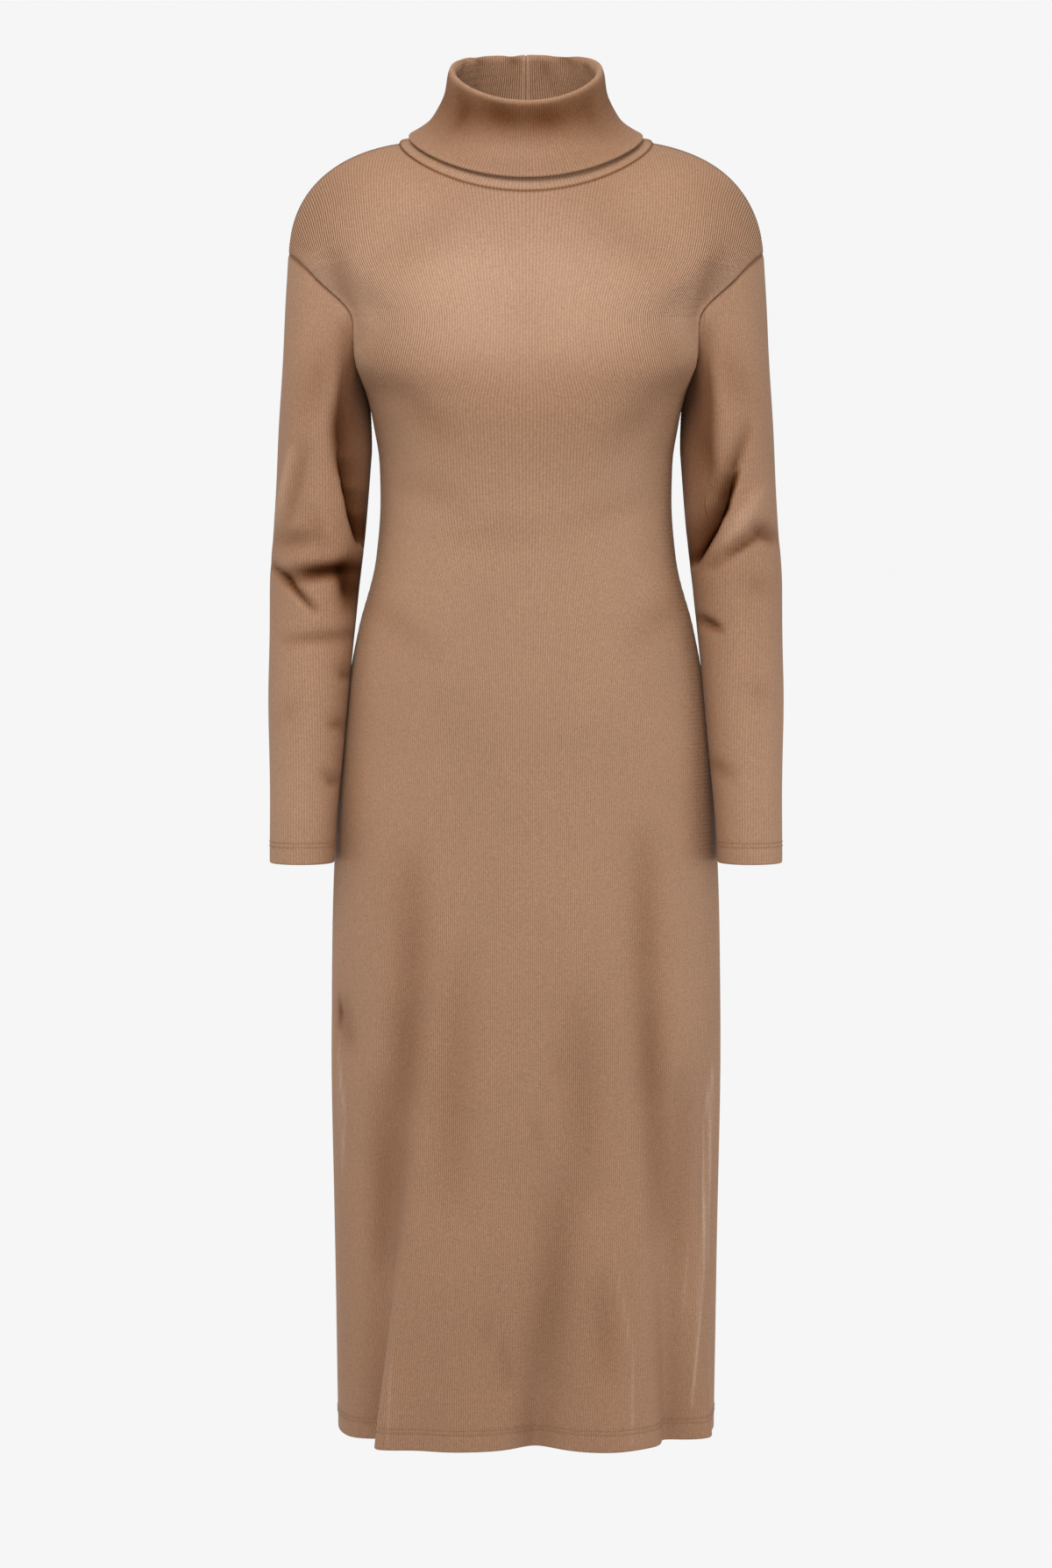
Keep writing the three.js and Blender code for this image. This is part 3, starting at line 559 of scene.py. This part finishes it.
# %% The sleeve's form
ARM = table(
    "along z inner outer y half_depth rise",
    (100, -262, 138.9, 220.1, -3, 53, 30), (180, -340, 144.2, 225, -7, 48.5, 10),
    (240, -400, 150.5, 228.9, -12, 45.5, 2), (310, -470, 157.4, 229.4, -22, 41, 0),
    (390, -550, 164.5, 227.6, -33, 37.5, 0), (450, -610, 170.2, 226.9, -40, 35, 0),
    (481.5, -641.5, 171.8, 227.1, -43, 34.5, 0),
)
BICEPS, BELOW, CUFF = 100, 180, 481.5


def armhole_line(side):
    """The armhole by angle: up the front seam to the shoulder tip, and down the back seam."""
    shares = np.linspace(0, 1, SAMPLES + 1)
    lines = {}
    for panel in ("front", "back"):
        def edge(down, _, panel=panel):
            return panel_surface(panel, np.full_like(down, side), down)

        down, _ = even_places(edge, 0, 0, UNDERARM_DOWN, shares)
        lines[panel] = panel_surface(panel, np.full_like(down, side), down)
    loop = np.concatenate((lines["front"][::-1], lines["back"][1:]))
    angles = np.linspace(0, 2 * math.pi, len(loop))
    return lambda angle: places(*(np.interp(angle, angles, loop[:, k]) for k in range(3)))


def arm_ring(side, angle, along):
    middle = (ARM["inner"](along) + ARM["outer"](along)) / 2
    half = (ARM["outer"](along) - ARM["inner"](along)) / 2
    return places(
        side * (middle - half * np.cos(angle)),
        ARM["y"](along) - ARM["half_depth"](along) * np.sin(angle),
        ARM["z"](along) - ARM["rise"](along) / 2 * np.cos(angle),
    )


def arm_radius(along):
    return (ARM["half_depth"](along) + (ARM["outer"](along) - ARM["inner"](along)) / 2) / 2


def sleeve_surface(side, hole):
    def surface(angle, along):
        angle, along = np.broadcast_arrays(angle, along)
        low = arm_ring(side, angle, np.maximum(along, BICEPS))
        start, end = hole(angle), arm_ring(side, angle, np.full_like(along, BICEPS, dtype=float))
        leaving = (arm_ring(side, angle, np.full_like(along, BELOW, dtype=float)) - start)
        leaving = leaving * BICEPS / BELOW
        s = np.clip(along / BICEPS, 0, 1)[..., None]
        high = mix(start, end, s) + (end - start - leaving) * s * s * (1 - s)
        return np.where(along[..., None] < BICEPS, high, low)

    return surface


# %% [markdown]
# A crease that comes from a bent elbow is steep on one side, where the cloth folds over, and flat
# on the other, so its two sides have widths of their own. Near the tube's edges it fades, because
# there it would cut a notch in the outline.

# %% The two sleeves
SLEEVE_CREASES = {
    # x, z, x2, z2, width on its left and right, depth: seen from the front, then from behind
    1: ([
        (197, -258, 185, -298, 4, 9, 4.0), (186, -294, 175, -330, 3, 13, 8.0),
        (177, -324, 150, -374, 3, 16, 12.0), (206, -312, 172, -368, 9, 6, -2.6),
        (224, -354, 207, -347, 6, 8, 6.0), (209, -347, 166, -377, 5, 9, 5.0),
        (154, -424, 172, -433, 4, 5, 6.5), (196, -392, 214, -398, 10, 10, 1.6),
        (158, -170, 157, -310, 9, 18, 6.0),
        (164, -551, 183, -562, 5, 7, 2.6), (196, -486, 216, -494, 9, 9, 1.2),
        (150, -262, 166, -300, 9, 9, 1.8), (176, -190, 196, -236, 14, 14, 1.6),
    ], [
        (160, -300, 214, -330, 8, 10, 3.6), (156, -352, 212, -366, 6, 9, 5.0),
        (160, -398, 206, -388, 8, 6, 3.6), (170, -446, 214, -436, 8, 8, 2.0),
        (172, -520, 212, -530, 9, 9, 1.4), (160, -230, 190, -262, 12, 12, 2.0),
    ]),
    -1: ([
        (165, -240, 162, -282, 8, 14, 5.0), (162, -280, 158.5, -310, 4, 14, 7.0),
        (158.7, -307, 154, -334, 3, 14, 9.0), (154.5, -331, 148, -356, 3, 14, 10.0),
        (214, -386, 150, -378, 8, 6, 9.0), (158, -378, 156, -408, 9, 12, 7.0),
        (229, -375, 187, -417, 3, 4.5, 6.0), (208, -276, 222, -338, 4, 5, -3.0),
        (196, -276, 214, -340, 9, 7, 2.2), (222, -354, 188, -352, 9, 7, 3.6),
        (158, -170, 159, -290, 9, 18, 6.0),
        (212, -443, 154, -440, 6, 6, 3.4), (190, -330, 178, -364, 10, 8, 1.6),
        (168, -471, 156, -476, 4, 5, 3.0), (174, -517, 160, -523, 4, 5, 3.4),
        (180, -562, 166, -572, 4, 5, 3.2), (200, -500, 216, -512, 9, 9, 1.2),
        (176, -190, 194, -240, 14, 14, 1.8),
    ], [
        (158, -310, 214, -296, 9, 8, 3.2), (156, -360, 214, -352, 6, 9, 5.2),
        (164, -408, 210, -420, 8, 6, 3.4), (170, -470, 214, -462, 8, 8, 1.8),
        (172, -540, 212, -532, 9, 9, 1.4), (158, -240, 188, -222, 12, 12, 2.0),
    ]),
}
# Where the cloth lies on itself in a fold no light gets in, so a narrow line of it is darkest.
SLEEVE_SHADOWS = {
    # x, z, x2, z2, width, and how much darker
    1: [(187, -296, 177, -326, 2.4, 0.4), (177.5, -324, 166, -348, 2.8, 0.5),
        (167, -345, 151, -371, 4.5, 0.6), (209, -350, 182, -366, 2.4, 0.16)],
    -1: [(160.5, -292, 156, -326, 3.2, 0.34), (156.5, -322, 149, -354, 4.0, 0.55),
         (196, -382, 150, -380, 5.0, 0.3), (157, -384, 156, -412, 9.0, 0.28),
         (226, -378, 192, -411, 2.0, 0.2)],
}
SIDEWAYS = (-0.15, 0.1)  # a crease ends where the sleeve turns from the side that it is seen from
EDGE_FADE = 0.15  # how much of a crease is left at the tube's inner and outer edges
# The sleeve's tone down its length: a little darker over the upper arm.
SLEEVE_TONE = curve((0, 60, 200, 320, 420), (0.94, 0.92, 0.92, 0.97, 1))
SLEEVE_RIB = 0.65  # the sleeves' ribs beside those of the panels, pulled flatter by the arm
HALF_SLEEVE_WALES = curve((0, 60, 100, 240, 390, 481.5),
                          (84, 66, 59, 52, 44, 41))
SLEEVE_WALES = int(HALF_SLEEVE_WALES(0))
SLEEVE_ROWS = np.r_[SEAM_ROWS, np.linspace(9, 84, 11), np.linspace(88, 292, 56),
                    np.linspace(300, CUFF - ABOVE_HEM, 22)]


def make_sleeve(name, side):
    surface = sleeve_surface(side, armhole_line(side))
    wales = np.arange(-SLEEVE_WALES * COLUMNS_PER_WALE, SLEEVE_WALES * COLUMNS_PER_WALE + 1)
    wales = wales / COLUMNS_PER_WALE
    alongs, inset = hemmed_rows(SLEEVE_ROWS)
    rows = [np.clip(wales / HALF_SLEEVE_WALES(a), -1, 1) for a in alongs]
    cut = [even_places(surface, a, 0, 2 * math.pi, (r + 1) / 2) for a, r in zip(alongs, rows)]
    angle = np.array([angles for angles, _ in cut])
    to_seam = np.array([(1 - np.abs(r)) * whole / 2 for r, (_, whole) in zip(rows, cut)])
    along = np.broadcast_to(alongs[:, None], angle.shape)
    base = surface(angle, along)
    out = normals(surface, angle, along, 0.02, 2.0, ((0, 2 * math.pi), (0, CUFF)))
    radius = arm_radius(np.maximum(along, BICEPS))
    x, z, facing = base[..., 0] * side, base[..., 2], np.sin(angle)
    folds = sum(creases(rows, x, z) * ease(way * facing, *SIDEWAYS)
                for rows, way in zip(SLEEVE_CREASES[side], (1, -1)))
    # Painted shade in the folds, darkest along the lines where the cloth lies on itself.
    shade = FOLD_SHADE * folds + creases(SLEEVE_SHADOWS[side], x, z) * ease(facing, *SIDEWAYS)
    folds = folds * mix(EDGE_FADE, 1, ease(np.abs(facing), 0, 0.6)) * seam_hold(along, 20)
    hold = seam_hold(to_seam) * seam_hold(along)
    height = (rib(wales, base) * SLEEVE_RIB + SEAM_SWELL) * hold - folds
    height = height + uneven(angle * radius, z, 1.2) * seam_hold(to_seam, 20) * seam_hold(along, 40)
    height = height - stitch_dip(CUFF - along, (inset == 0)[:, None]) - inset[:, None]
    place = base + out * height[..., None]
    tone = SLEEVE_TONE(along) * seam_tone(to_seam) * seam_tone(along) - shade
    return sheet_of(name, place, wales, alongs, tone), place, out, alongs


cloth_left, *left_grid = make_sleeve("sleeve_left_cloth", 1)
cloth_right, *right_grid = make_sleeve("sleeve_right_cloth", -1)

# %% [markdown]
# ## The roll neck
# The roll neck is one tube, sewn to the neckline. It stands up and folds over once, so that its
# free end lies outside and hides the fold's inner half. It could be two separate bands, but as one
# sheet it turns over in a smooth round lip, and its ribs run over the fold unbroken.

# %% The roll neck's rings
ROLL = table(
    "ring half_width front back z_front z_side z_back",
    (0, 113, 75, 66, -48, 0, 2), (1, 104, 72.5, 64, -40, 2, 9), (2, 95, 70.5, 64, -29, 6, 19),
    (3, 84, 68, 63, -16, 11.8, 32), (4, 75, 65, 61.5, 0, 26, 48), (5, 66.5, 62, 58.5, 18, 48, 67),
    (6, 63.6, 60.5, 57, 27, 61, 79), (7, 66.2, 63.2, 60, 31.4, 66, 83.6),
    (8, 68.8, 66, 63, 27, 61, 79), (9, 71.6, 67, 64.8, 14, 44, 64),
    (10, 78.5, 69.5, 66.3, -3, 28.5, 46), (11, 86.5, 72.5, 68, -17, 16.8, 31),
    (12, 96, 75, 69, -27.5, 10, 19.5), (13, 104.8, 76.3, 70.5, -36.4, 5.4, 10),
)
LAST_RING, TURN_RING = 13, 7
ROLL_WALES = 216
ROLL_CREASES = [
    # distance round from the centre front at the fold, height in rings, and the same again
    (-36, 8.4, -10, 8.9, 6, 1.8), (8, 8.8, 30, 9.1, 6, 1.6), (-66, 9.2, -52, 9.8, 8, 2.6),
    (-64, 8.8, 64, 8.8, 6, 10, 3.6), (52, 9.2, 66, 9.8, 8, 1.2), (-50, 10.8, 50, 10.8, 9, -1.6),
    (120, 9.2, 150, 10.0, 10, 1.6), (-150, 9.4, -120, 10.0, 10, 1.4), (182, 8.8, 200, 9.6, 9, 1.2),
    # inside, at the back
    (-198, 5.2, -194, 6.7, 6, 3.4), (160, 5.8, 178, 6.5, 8, 3.6), (-166, 5.2, -158, 6.6, 6, 2.8),
    (-140, 5.4, -134, 6.3, 7, 1.6), (134, 5.0, 146, 5.8, 7, 1.8), (187, 4.6, 194, 5.6, 6, 1.6),
]
ROLL_RIB = 0.8  # the roll neck's ribs beside those of the panels
INSIDE_GROOVE_SHADE = 0.25  # how much darker painted shade makes the grooves inside the roll neck
# The cloth's tone by ring, painted shade: about even from the seam, up the inside and over the lip,
# darkest just below the lip, where the roll neck turns down under it, and lighter towards its free
# edge.
ROLL_SHADE = curve((0, 1.5, 3, 6.4, 7.3, 8.1, 9.2, 10, 11, 13),
                  (0.96, 0.94, 0.94, 0.93, 0.94, 0.73, 0.69, 0.75, 0.82, 0.9))
ROLL_RADIUS = 66  # at the fold
ROLL_ALLOWANCE = 1.4  # how far the centre back seam's allowances stand out inside
RING_HEIGHT = 9  # how far apart the rings are, about, so that creases are measured in millimetres


def roll_surface(angle, ring):
    names = ("half_width", "front", "back", "z_front", "z_side", "z_back")
    return neck_ring({name: ROLL[name](ring) for name in names}, angle)


def make_roll():
    columns = ROLL_WALES * COLUMNS_PER_WALE
    wales = np.arange(columns + 1) / COLUMNS_PER_WALE
    rings = np.r_[0, 0.09, 0.2, 0.36, 0.6, np.linspace(0.9, 5, 15), np.linspace(5.2, 9, 22),
                  np.linspace(9.25, LAST_RING, 18)]
    turn = np.radians((0, 45, 90, 135, 180))
    edge_ring = LAST_RING - 0.13 + 0.13 * np.sin(turn)
    rows = np.r_[rings[:-1], edge_ring, LAST_RING - 0.4, LAST_RING - 0.9]
    inset = np.r_[0 * rings[:-1], FOLD_RADIUS * (1 - np.cos(turn)), (2 * FOLD_RADIUS,) * 2]
    angle = np.linspace(-math.pi, math.pi, columns + 1)
    angle, ring = np.meshgrid(angle, rows)
    base = roll_surface(angle, ring)
    out = normals(roll_surface, angle, ring, 0.01, 0.05, ((-4, 4), (0, LAST_RING)))
    from_seam = (math.pi - np.abs(angle)) * ROLL_RADIUS
    hold = seam_hold(from_seam, 1.0) * seam_hold(ring * RING_HEIGHT)
    round_fold = angle * ROLL_RADIUS
    allowance = ROLL_ALLOWANCE * (1 - ease(from_seam, 2.5, 4.5)) * (1 - ease(ring, 6, TURN_RING))
    height = (rib(wales, base) * ROLL_RIB + SEAM_SWELL + allowance) * hold
    rows_in_mm = [(a, b * RING_HEIGHT, c, d * RING_HEIGHT, *rest)
                  for a, b, c, d, *rest in ROLL_CREASES]
    folds = creases(rows_in_mm, round_fold, ring * RING_HEIGHT)
    height = height - folds
    height = height + uneven(round_fold, ring * 20, 0.7) * seam_hold(ring * RING_HEIGHT, 8)
    height = height - inset[:, None]
    inside = ease(ring, 2, 4) * (1 - ease(ring, 6.3, 7.1))
    # The tone: painted shade by ring and in the grooves inside, then darker at the seam.
    tone = ROLL_SHADE(ring) * groove_shade(wales, INSIDE_GROOVE_SHADE * inside)
    tone = tone * seam_tone(ring * RING_HEIGHT)
    # A painted highlight on the seam's allowances, and painted shade in the folds.
    tone = tone + 0.1 * allowance - FOLD_SHADE * folds
    place = base + out * height[..., None]
    return sheet_of("roll_neck_cloth", place, wales, rows * RING_HEIGHT, tone)


cloth_roll = make_roll()

# %% [markdown]
# ## Twin-needle stitches
# A twin needle leaves two parallel rows of short stitches on the outside of a hem, and pulls a
# shallow groove along each. The grooves are already in the sheets. The thread could be a bump in
# the material, but it lies on the cloth, so each stitch is a short round thread: a curve with a
# bevel, laid over the rows of the grid that the grooves follow. Thread and stitches are drawn
# about half as large again as the real ones, to show at all.

# %% Hem and cuff stitches
THREAD_RADIUS = 0.3
STITCH_COLUMNS = 4  # columns from one stitch to the next, with one between them left bare
NARROWEST = 0.2  # columns that lie closer have ended on the seam, and bear no stitch
STITCH_LIFTS = (0.1, 0.55, 0.1)  # how far a stitch's two ends and its middle stand off the cloth


def stitched(name, place, out, downs):
    end = downs.max()
    thread = bpy.data.curves.new(name, "CURVE")
    thread.dimensions, thread.bevel_depth, thread.bevel_resolution = "3D", THREAD_RADIUS * METRE, 1
    for line in STITCH_LINES:
        row = int(np.argmin(np.abs(downs - (end - line))))
        path, up = place[row], out[row]
        gaps = length(np.diff(path, axis=0))[:, 0]
        live = np.flatnonzero(gaps > NARROWEST)
        for start in live[::STITCH_COLUMNS]:
            middle = start + STITCH_COLUMNS // 2
            finish = start + STITCH_COLUMNS - 1
            if finish > live[-1]:
                continue
            spline = thread.splines.new("POLY")
            spline.points.add(2)
            columns = (start, middle, finish)
            for point, column, lift in zip(spline.points, columns, STITCH_LIFTS):
                point.co = (*((path[column] + up[column] * lift) * METRE), 1)
    holder = bpy.data.objects.new(name, thread)
    bpy.context.collection.objects.link(holder)
    evaluated = holder.evaluated_get(bpy.context.evaluated_depsgraph_get())
    mesh = bpy.data.meshes.new_from_object(evaluated)
    bpy.data.objects.remove(holder)
    piece = bpy.data.objects.new(name, mesh)
    bpy.context.collection.objects.link(piece)
    print(name, "faces:", len(mesh.polygons))
    return piece


stitches_front = stitched("front_hem_stitches", *front_grid)
stitches_back = stitched("back_hem_stitches", *back_grid)
stitches_left = stitched("left_cuff_stitches", *left_grid)
stitches_right = stitched("right_cuff_stitches", *right_grid)

# %% [markdown]
# ## The cloth's material
# The cloth is a fine rib jersey of brushed yarn in camel. The eye reads it by three things: matt
# light with a faint pale bloom at grazing angles, from loose fibres, darker lines between the
# ribs, which are painted shade, and a slight mottle, because the yarn takes dye unevenly. The
# colour also carries the painted shade and highlights of each sheet's tone, and painted shade
# that deepens it towards the hem. The ribs themselves are in the mesh. The rows of stitches are
# far finer than a pixel, so they are drawn about three times as coarse, as a low bump along each
# rib.

# %% Colours and nodes
def srgb(hex_colour):
    """A linear colour from a hex value as a paint chart gives it."""
    parts = [int(hex_colour[i:i + 2], 16) / 255 for i in (1, 3, 5)]
    return (*(c / 12.92 if c <= 0.04045 else ((c + 0.055) / 1.055) ** 2.4 for c in parts), 1)


def add_node(tree, kind, links=(), **settings):
    """A node with its settings, and with its inputs linked or set."""
    node = tree.nodes.new(kind)
    for name, value in settings.items():
        setattr(node, name, value)
    for socket, value in dict(links).items():
        if isinstance(value, bpy.types.NodeSocket):
            tree.links.new(value, node.inputs[socket])
        else:
            node.inputs[socket].default_value = value
    return node


def remap(tree, value, low, high, to_low, to_high):
    """A value carried from one range to another, and kept inside that."""
    links = {0: value, 1: low, 2: high, 3: to_low, 4: to_high}
    return add_node(tree, "ShaderNodeMapRange", links).outputs[0]


def calculate(tree, operation, *values):
    return add_node(tree, "ShaderNodeMath", enumerate(values), operation=operation).outputs[0]


def blend(tree, share, colour, other):
    links = {0: share, 6: colour, 7: other}
    return add_node(tree, "ShaderNodeMix", links, data_type="RGBA").outputs[2]


STITCH_ROW = 3.6  # from one row of stitches to the next, as drawn
STITCH_BUMP = 0.25  # the height of those rows beside that of the fuzz
MOTTLE_SCALE, PATCH_SCALE, FUZZ_SCALE = 520.0, 9.0, 900.0  # for each metre of cloth
NOISE_SPAN = (0.3, 0.7)  # where most of a noise's values lie
MOTTLE, PATCHES = (0.84, 1.13), (0.965, 1.035)  # how dark and how bright they make the cloth
RIB_EDGE = -0.6  # the cosine of the place in a wale where the groove's painted shade has ended
RIB_TOP = "#B08A6E"
# The groove's colour is painted shade between the ribs.
RIB_GROOVE_SHADE = "#A27B5D"
# A pale colour painted on raised lines as a highlight.
HIGHLIGHT_PALE = "#CDB4A2"
HIGHLIGHT_TONE, HIGHLIGHT_SHARE = 1.35, 0.8  # the tone at which the painted highlight has that share
HEM_SHADE = 0.18  # painted shade: how much deeper the colour is at the hem, where less light falls
LOWER_FROM, LOWER_TO = -0.2, -1.1  # in metres, from the chest to the hem
DEEPER = 1.4  # light that bounces about in a fold or under the roll takes on more of the colour
GLOSS, BLOOM = 0.5, 0.1  # of open cloth: a deep fold has none of either
FIBRE_TINT = "#F0D8C4"


def rib_jersey(name):
    material = bpy.data.materials.new(name)
    material.use_nodes = True
    tree = material.node_tree
    tree.nodes.clear()
    knit = add_node(tree, "ShaderNodeUVMap", uv_map="knit")
    across, along, _ = add_node(tree, "ShaderNodeSeparateXYZ", {0: knit.outputs["UV"]}).outputs
    where = add_node(tree, "ShaderNodeTexCoord").outputs["Object"]
    height = add_node(tree, "ShaderNodeSeparateXYZ", {0: where}).outputs["Z"]
    tone = add_node(tree, "ShaderNodeAttribute", attribute_name="tone").outputs["Fac"]
    mottle, patches, fuzz = (
        add_node(tree, "ShaderNodeTexNoise",
                 {"Vector": where, "Scale": scale, "Detail": detail}).outputs[0]
        for scale, detail in ((MOTTLE_SCALE, 3.0), (PATCH_SCALE, 2.0), (FUZZ_SCALE, 2.0)))
    # The colour runs from the grooves' painted shade to the rib, pales with painted highlights on
    # raised lines, and deepens with painted shade in folds and low down.
    wale = calculate(tree, "MULTIPLY", across, 2 * math.pi)
    crest = remap(tree, calculate(tree, "COSINE", wale), 1.0, RIB_EDGE, 0.0, 1.0)
    colour = blend(tree, crest, srgb(RIB_GROOVE_SHADE), srgb(RIB_TOP))
    highlight = remap(tree, tone, 1.0, HIGHLIGHT_TONE, 0.0, HIGHLIGHT_SHARE)
    colour = blend(tree, highlight, colour, srgb(HIGHLIGHT_PALE))
    dark = calculate(tree, "MINIMUM", tone, 1.0)
    deep = calculate(tree, "ADD", remap(tree, dark, 1.0, 0.0, 1.0, 1.0 + DEEPER),
                     remap(tree, height, LOWER_FROM, LOWER_TO, 0.0, HEM_SHADE))
    colour = add_node(tree, "ShaderNodeGamma", {0: colour, 1: deep}).outputs[0]
    # Its brightness is uneven, from stitch to stitch and in wide patches, and the painted shade of
    # the tone darkens it.
    uneven_dye = calculate(tree, "MULTIPLY", remap(tree, mottle, *NOISE_SPAN, *MOTTLE),
                           remap(tree, patches, *NOISE_SPAN, *PATCHES))
    bright = calculate(tree, "MULTIPLY", uneven_dye, dark)
    colour = add_node(tree, "ShaderNodeVectorMath", {0: colour, "Scale": bright},
                      operation="SCALE").outputs[0]
    # The rows of stitches slant across each rib, with fuzz on them.
    course = calculate(tree, "MULTIPLY", along, 2 * math.pi / STITCH_ROW)
    stitch = calculate(tree, "SINE", calculate(tree, "ADD", wale, course))
    rough = calculate(tree, "MULTIPLY_ADD", stitch, STITCH_BUMP, fuzz)
    bump = add_node(tree, "ShaderNodeBump",
                    {"Height": rough, "Strength": 0.35, "Distance": 0.0004})
    cloth = add_node(tree, "ShaderNodeBsdfPrincipled", {
        "Base Color": colour, "Roughness": 0.6, "IOR": 1.45,
        "Specular IOR Level": remap(tree, dark, 0.5, 1.0, 0.0, GLOSS),
        "Sheen Weight": remap(tree, dark, 0.5, 1.0, 0.0, BLOOM), "Sheen Roughness": 0.55,
        "Sheen Tint": srgb(FIBRE_TINT), "Normal": bump.outputs["Normal"]})
    add_node(tree, "ShaderNodeOutputMaterial", {"Surface": cloth.outputs["BSDF"]})
    return material


camel_jersey = rib_jersey("camel rib jersey, brushed")

# %% [markdown]
# The sewing thread is spun polyester, dyed to match: a little darker and smoother than the cloth.

# %% Thread
thread_polyester = bpy.data.materials.new("spun polyester thread, camel")
thread_polyester.use_nodes = True
thread_shader = thread_polyester.node_tree.nodes["Principled BSDF"]
thread_shader.inputs["Base Color"].default_value = srgb("#A07B5D")
thread_shader.inputs["Roughness"].default_value = 0.7

# %% [markdown]
# ## Joining the sheets to the frame
# Each sheet takes the place of its solid and moves with it. The table also gives what holds each
# and the size that it was cut to: a tube's width is its girth, and the cloth turned up inside
# counts.

# %% Riding and replacing
CLOTHS = [
    # piece, its stitches, node, what holds it, flat width and length, and flat area, in metres
    (cloth_front, stitches_front, "front", ["roll_neck_cloth"], (0.69, 1.20), 0.60),
    (cloth_back, stitches_back, "back", ["roll_neck_cloth"], (0.69, 1.22), 0.60),
    (cloth_left, stitches_left, "sleeve_left", ["front_cloth", "back_cloth"],
     (0.42, 0.56), 0.14),
    (cloth_right, stitches_right, "sleeve_right", ["front_cloth", "back_cloth"],
     (0.42, 0.56), 0.14),
    (cloth_roll, None, "roll_neck", ["front_cloth", "back_cloth"], (0.50, 0.19), 0.09),
]
for piece, stitches, node, held_by, flat, area in CLOTHS:
    piece.data.materials.append(camel_jersey)
    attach(piece, "root")
    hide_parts(node)
    if stitches:
        stitches.data.materials.append(thread_polyester)
        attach(stitches, "root")

# %% [markdown]
# ## Floor, light and camera
# The floor is a wide pale disc that glows in the tone of the sky behind it and takes no light, so
# no line shows behind the dress from any side.

# %% The floor
FLOOR_Z = -1.42
bm = bmesh.new()
bmesh.ops.create_circle(bm, cap_ends=True, segments=64, radius=60)
bmesh.ops.translate(bm, verts=bm.verts, vec=(0, 0, FLOOR_Z))
mesh = bpy.data.meshes.new("floor")
bm.to_mesh(mesh)
bm.free()
floor = bpy.data.objects.new("floor", mesh)
bpy.context.collection.objects.link(floor)
floor.visible_diffuse = False
PALE = "#F6F6F6"
paper = bpy.data.materials.new("white paper, matt")
paper.use_nodes = True
paper_shader = paper.node_tree.nodes["Principled BSDF"]
paper_shader.inputs["Base Color"].default_value = srgb("#000000")
paper_shader.inputs["Specular IOR Level"].default_value = 0.0
paper_shader.inputs["Roughness"].default_value = 1.0
paper_shader.inputs["Emission Color"].default_value = srgb(PALE)
paper_shader.inputs["Emission Strength"].default_value = 1.0
mesh.materials.append(paper)

# %% [markdown]
# The light is soft. One near lamp stands in front and above, close enough for its light to fall
# off from the chest to the hem, as in the photograph. A weak lamp at each side lifts the skirt,
# and the sky is brighter in front and above than behind and below.

# %% Lamps and sky
def lamp(name, place, aim, size, watts):
    light = bpy.data.lights.new(name, "AREA")
    light.shape, light.size, light.energy = "DISK", size, watts
    holder = bpy.data.objects.new(name, light)
    holder.location = place
    away = holder.location - type(holder.location)(aim)
    holder.rotation_euler = away.to_track_quat("Z", "Y").to_euler()
    bpy.context.collection.objects.link(holder)


lamp("key lamp", (-0.25, -1.35, 1.0), (0, 0, -0.3), 0.9, 21)
lamp("right lamp", (2.2, -0.8, -0.8), (0, 0, -0.8), 1.2, 11)
lamp("left lamp", (-2.2, -0.8, -0.8), (0, 0, -0.7), 1.2, 5)
SKY_BRIGHTEST = (0, -0.75, 0.66)  # the way to its brightest part
SKY_DIM, SKY_BRIGHT = 0.34, 0.77
SKY_SEEN = 0.92  # as the camera sees it, the same pale tone as the floor
world = bpy.data.worlds.new("soft sky")
bpy.context.scene.world = world
world.use_nodes = True
tree = world.node_tree
tree.nodes.clear()
way = add_node(tree, "ShaderNodeTexCoord")
ahead = add_node(tree, "ShaderNodeVectorMath", {0: way.outputs["Generated"], 1: SKY_BRIGHTEST},
                 operation="DOT_PRODUCT")
glow = remap(tree, ahead.outputs["Value"], -1.0, 1.0, SKY_DIM, SKY_BRIGHT)
seen = add_node(tree, "ShaderNodeLightPath")
level = add_node(tree, "ShaderNodeMix", {0: seen.outputs["Is Camera Ray"], 2: glow,
                                         3: SKY_SEEN}, data_type="FLOAT")
sky = add_node(tree, "ShaderNodeBackground", {"Strength": level.outputs[0]})
add_node(tree, "ShaderNodeOutputWorld", {"Surface": sky.outputs[0]})
sky.inputs["Color"].default_value = (1, 1, 1, 1)
bpy.context.scene.view_settings.view_transform = "Standard"

# %% [markdown]
# The camera stands 4 m in front, a little above the middle of the dress and looking slightly down,
# with a long lens, which is what the photograph's own shapes call for.

# %% The camera
AIM = (0.0, 0.0, -0.574)
DISTANCE = 4.0
PITCH = 3.3
eye = bpy.data.cameras.new("camera")
eye.sensor_fit, eye.sensor_width, eye.sensor_height, eye.lens = "AUTO", 36, 36, 101.9
camera = bpy.data.objects.new("camera", eye)
pitch = math.radians(PITCH)
camera.location = (AIM[0], AIM[1] - DISTANCE * math.cos(pitch), AIM[2] + DISTANCE * math.sin(pitch))
camera.rotation_euler = (math.pi / 2 - pitch, 0, 0)
bpy.context.collection.objects.link(camera)
bpy.context.scene.camera = camera
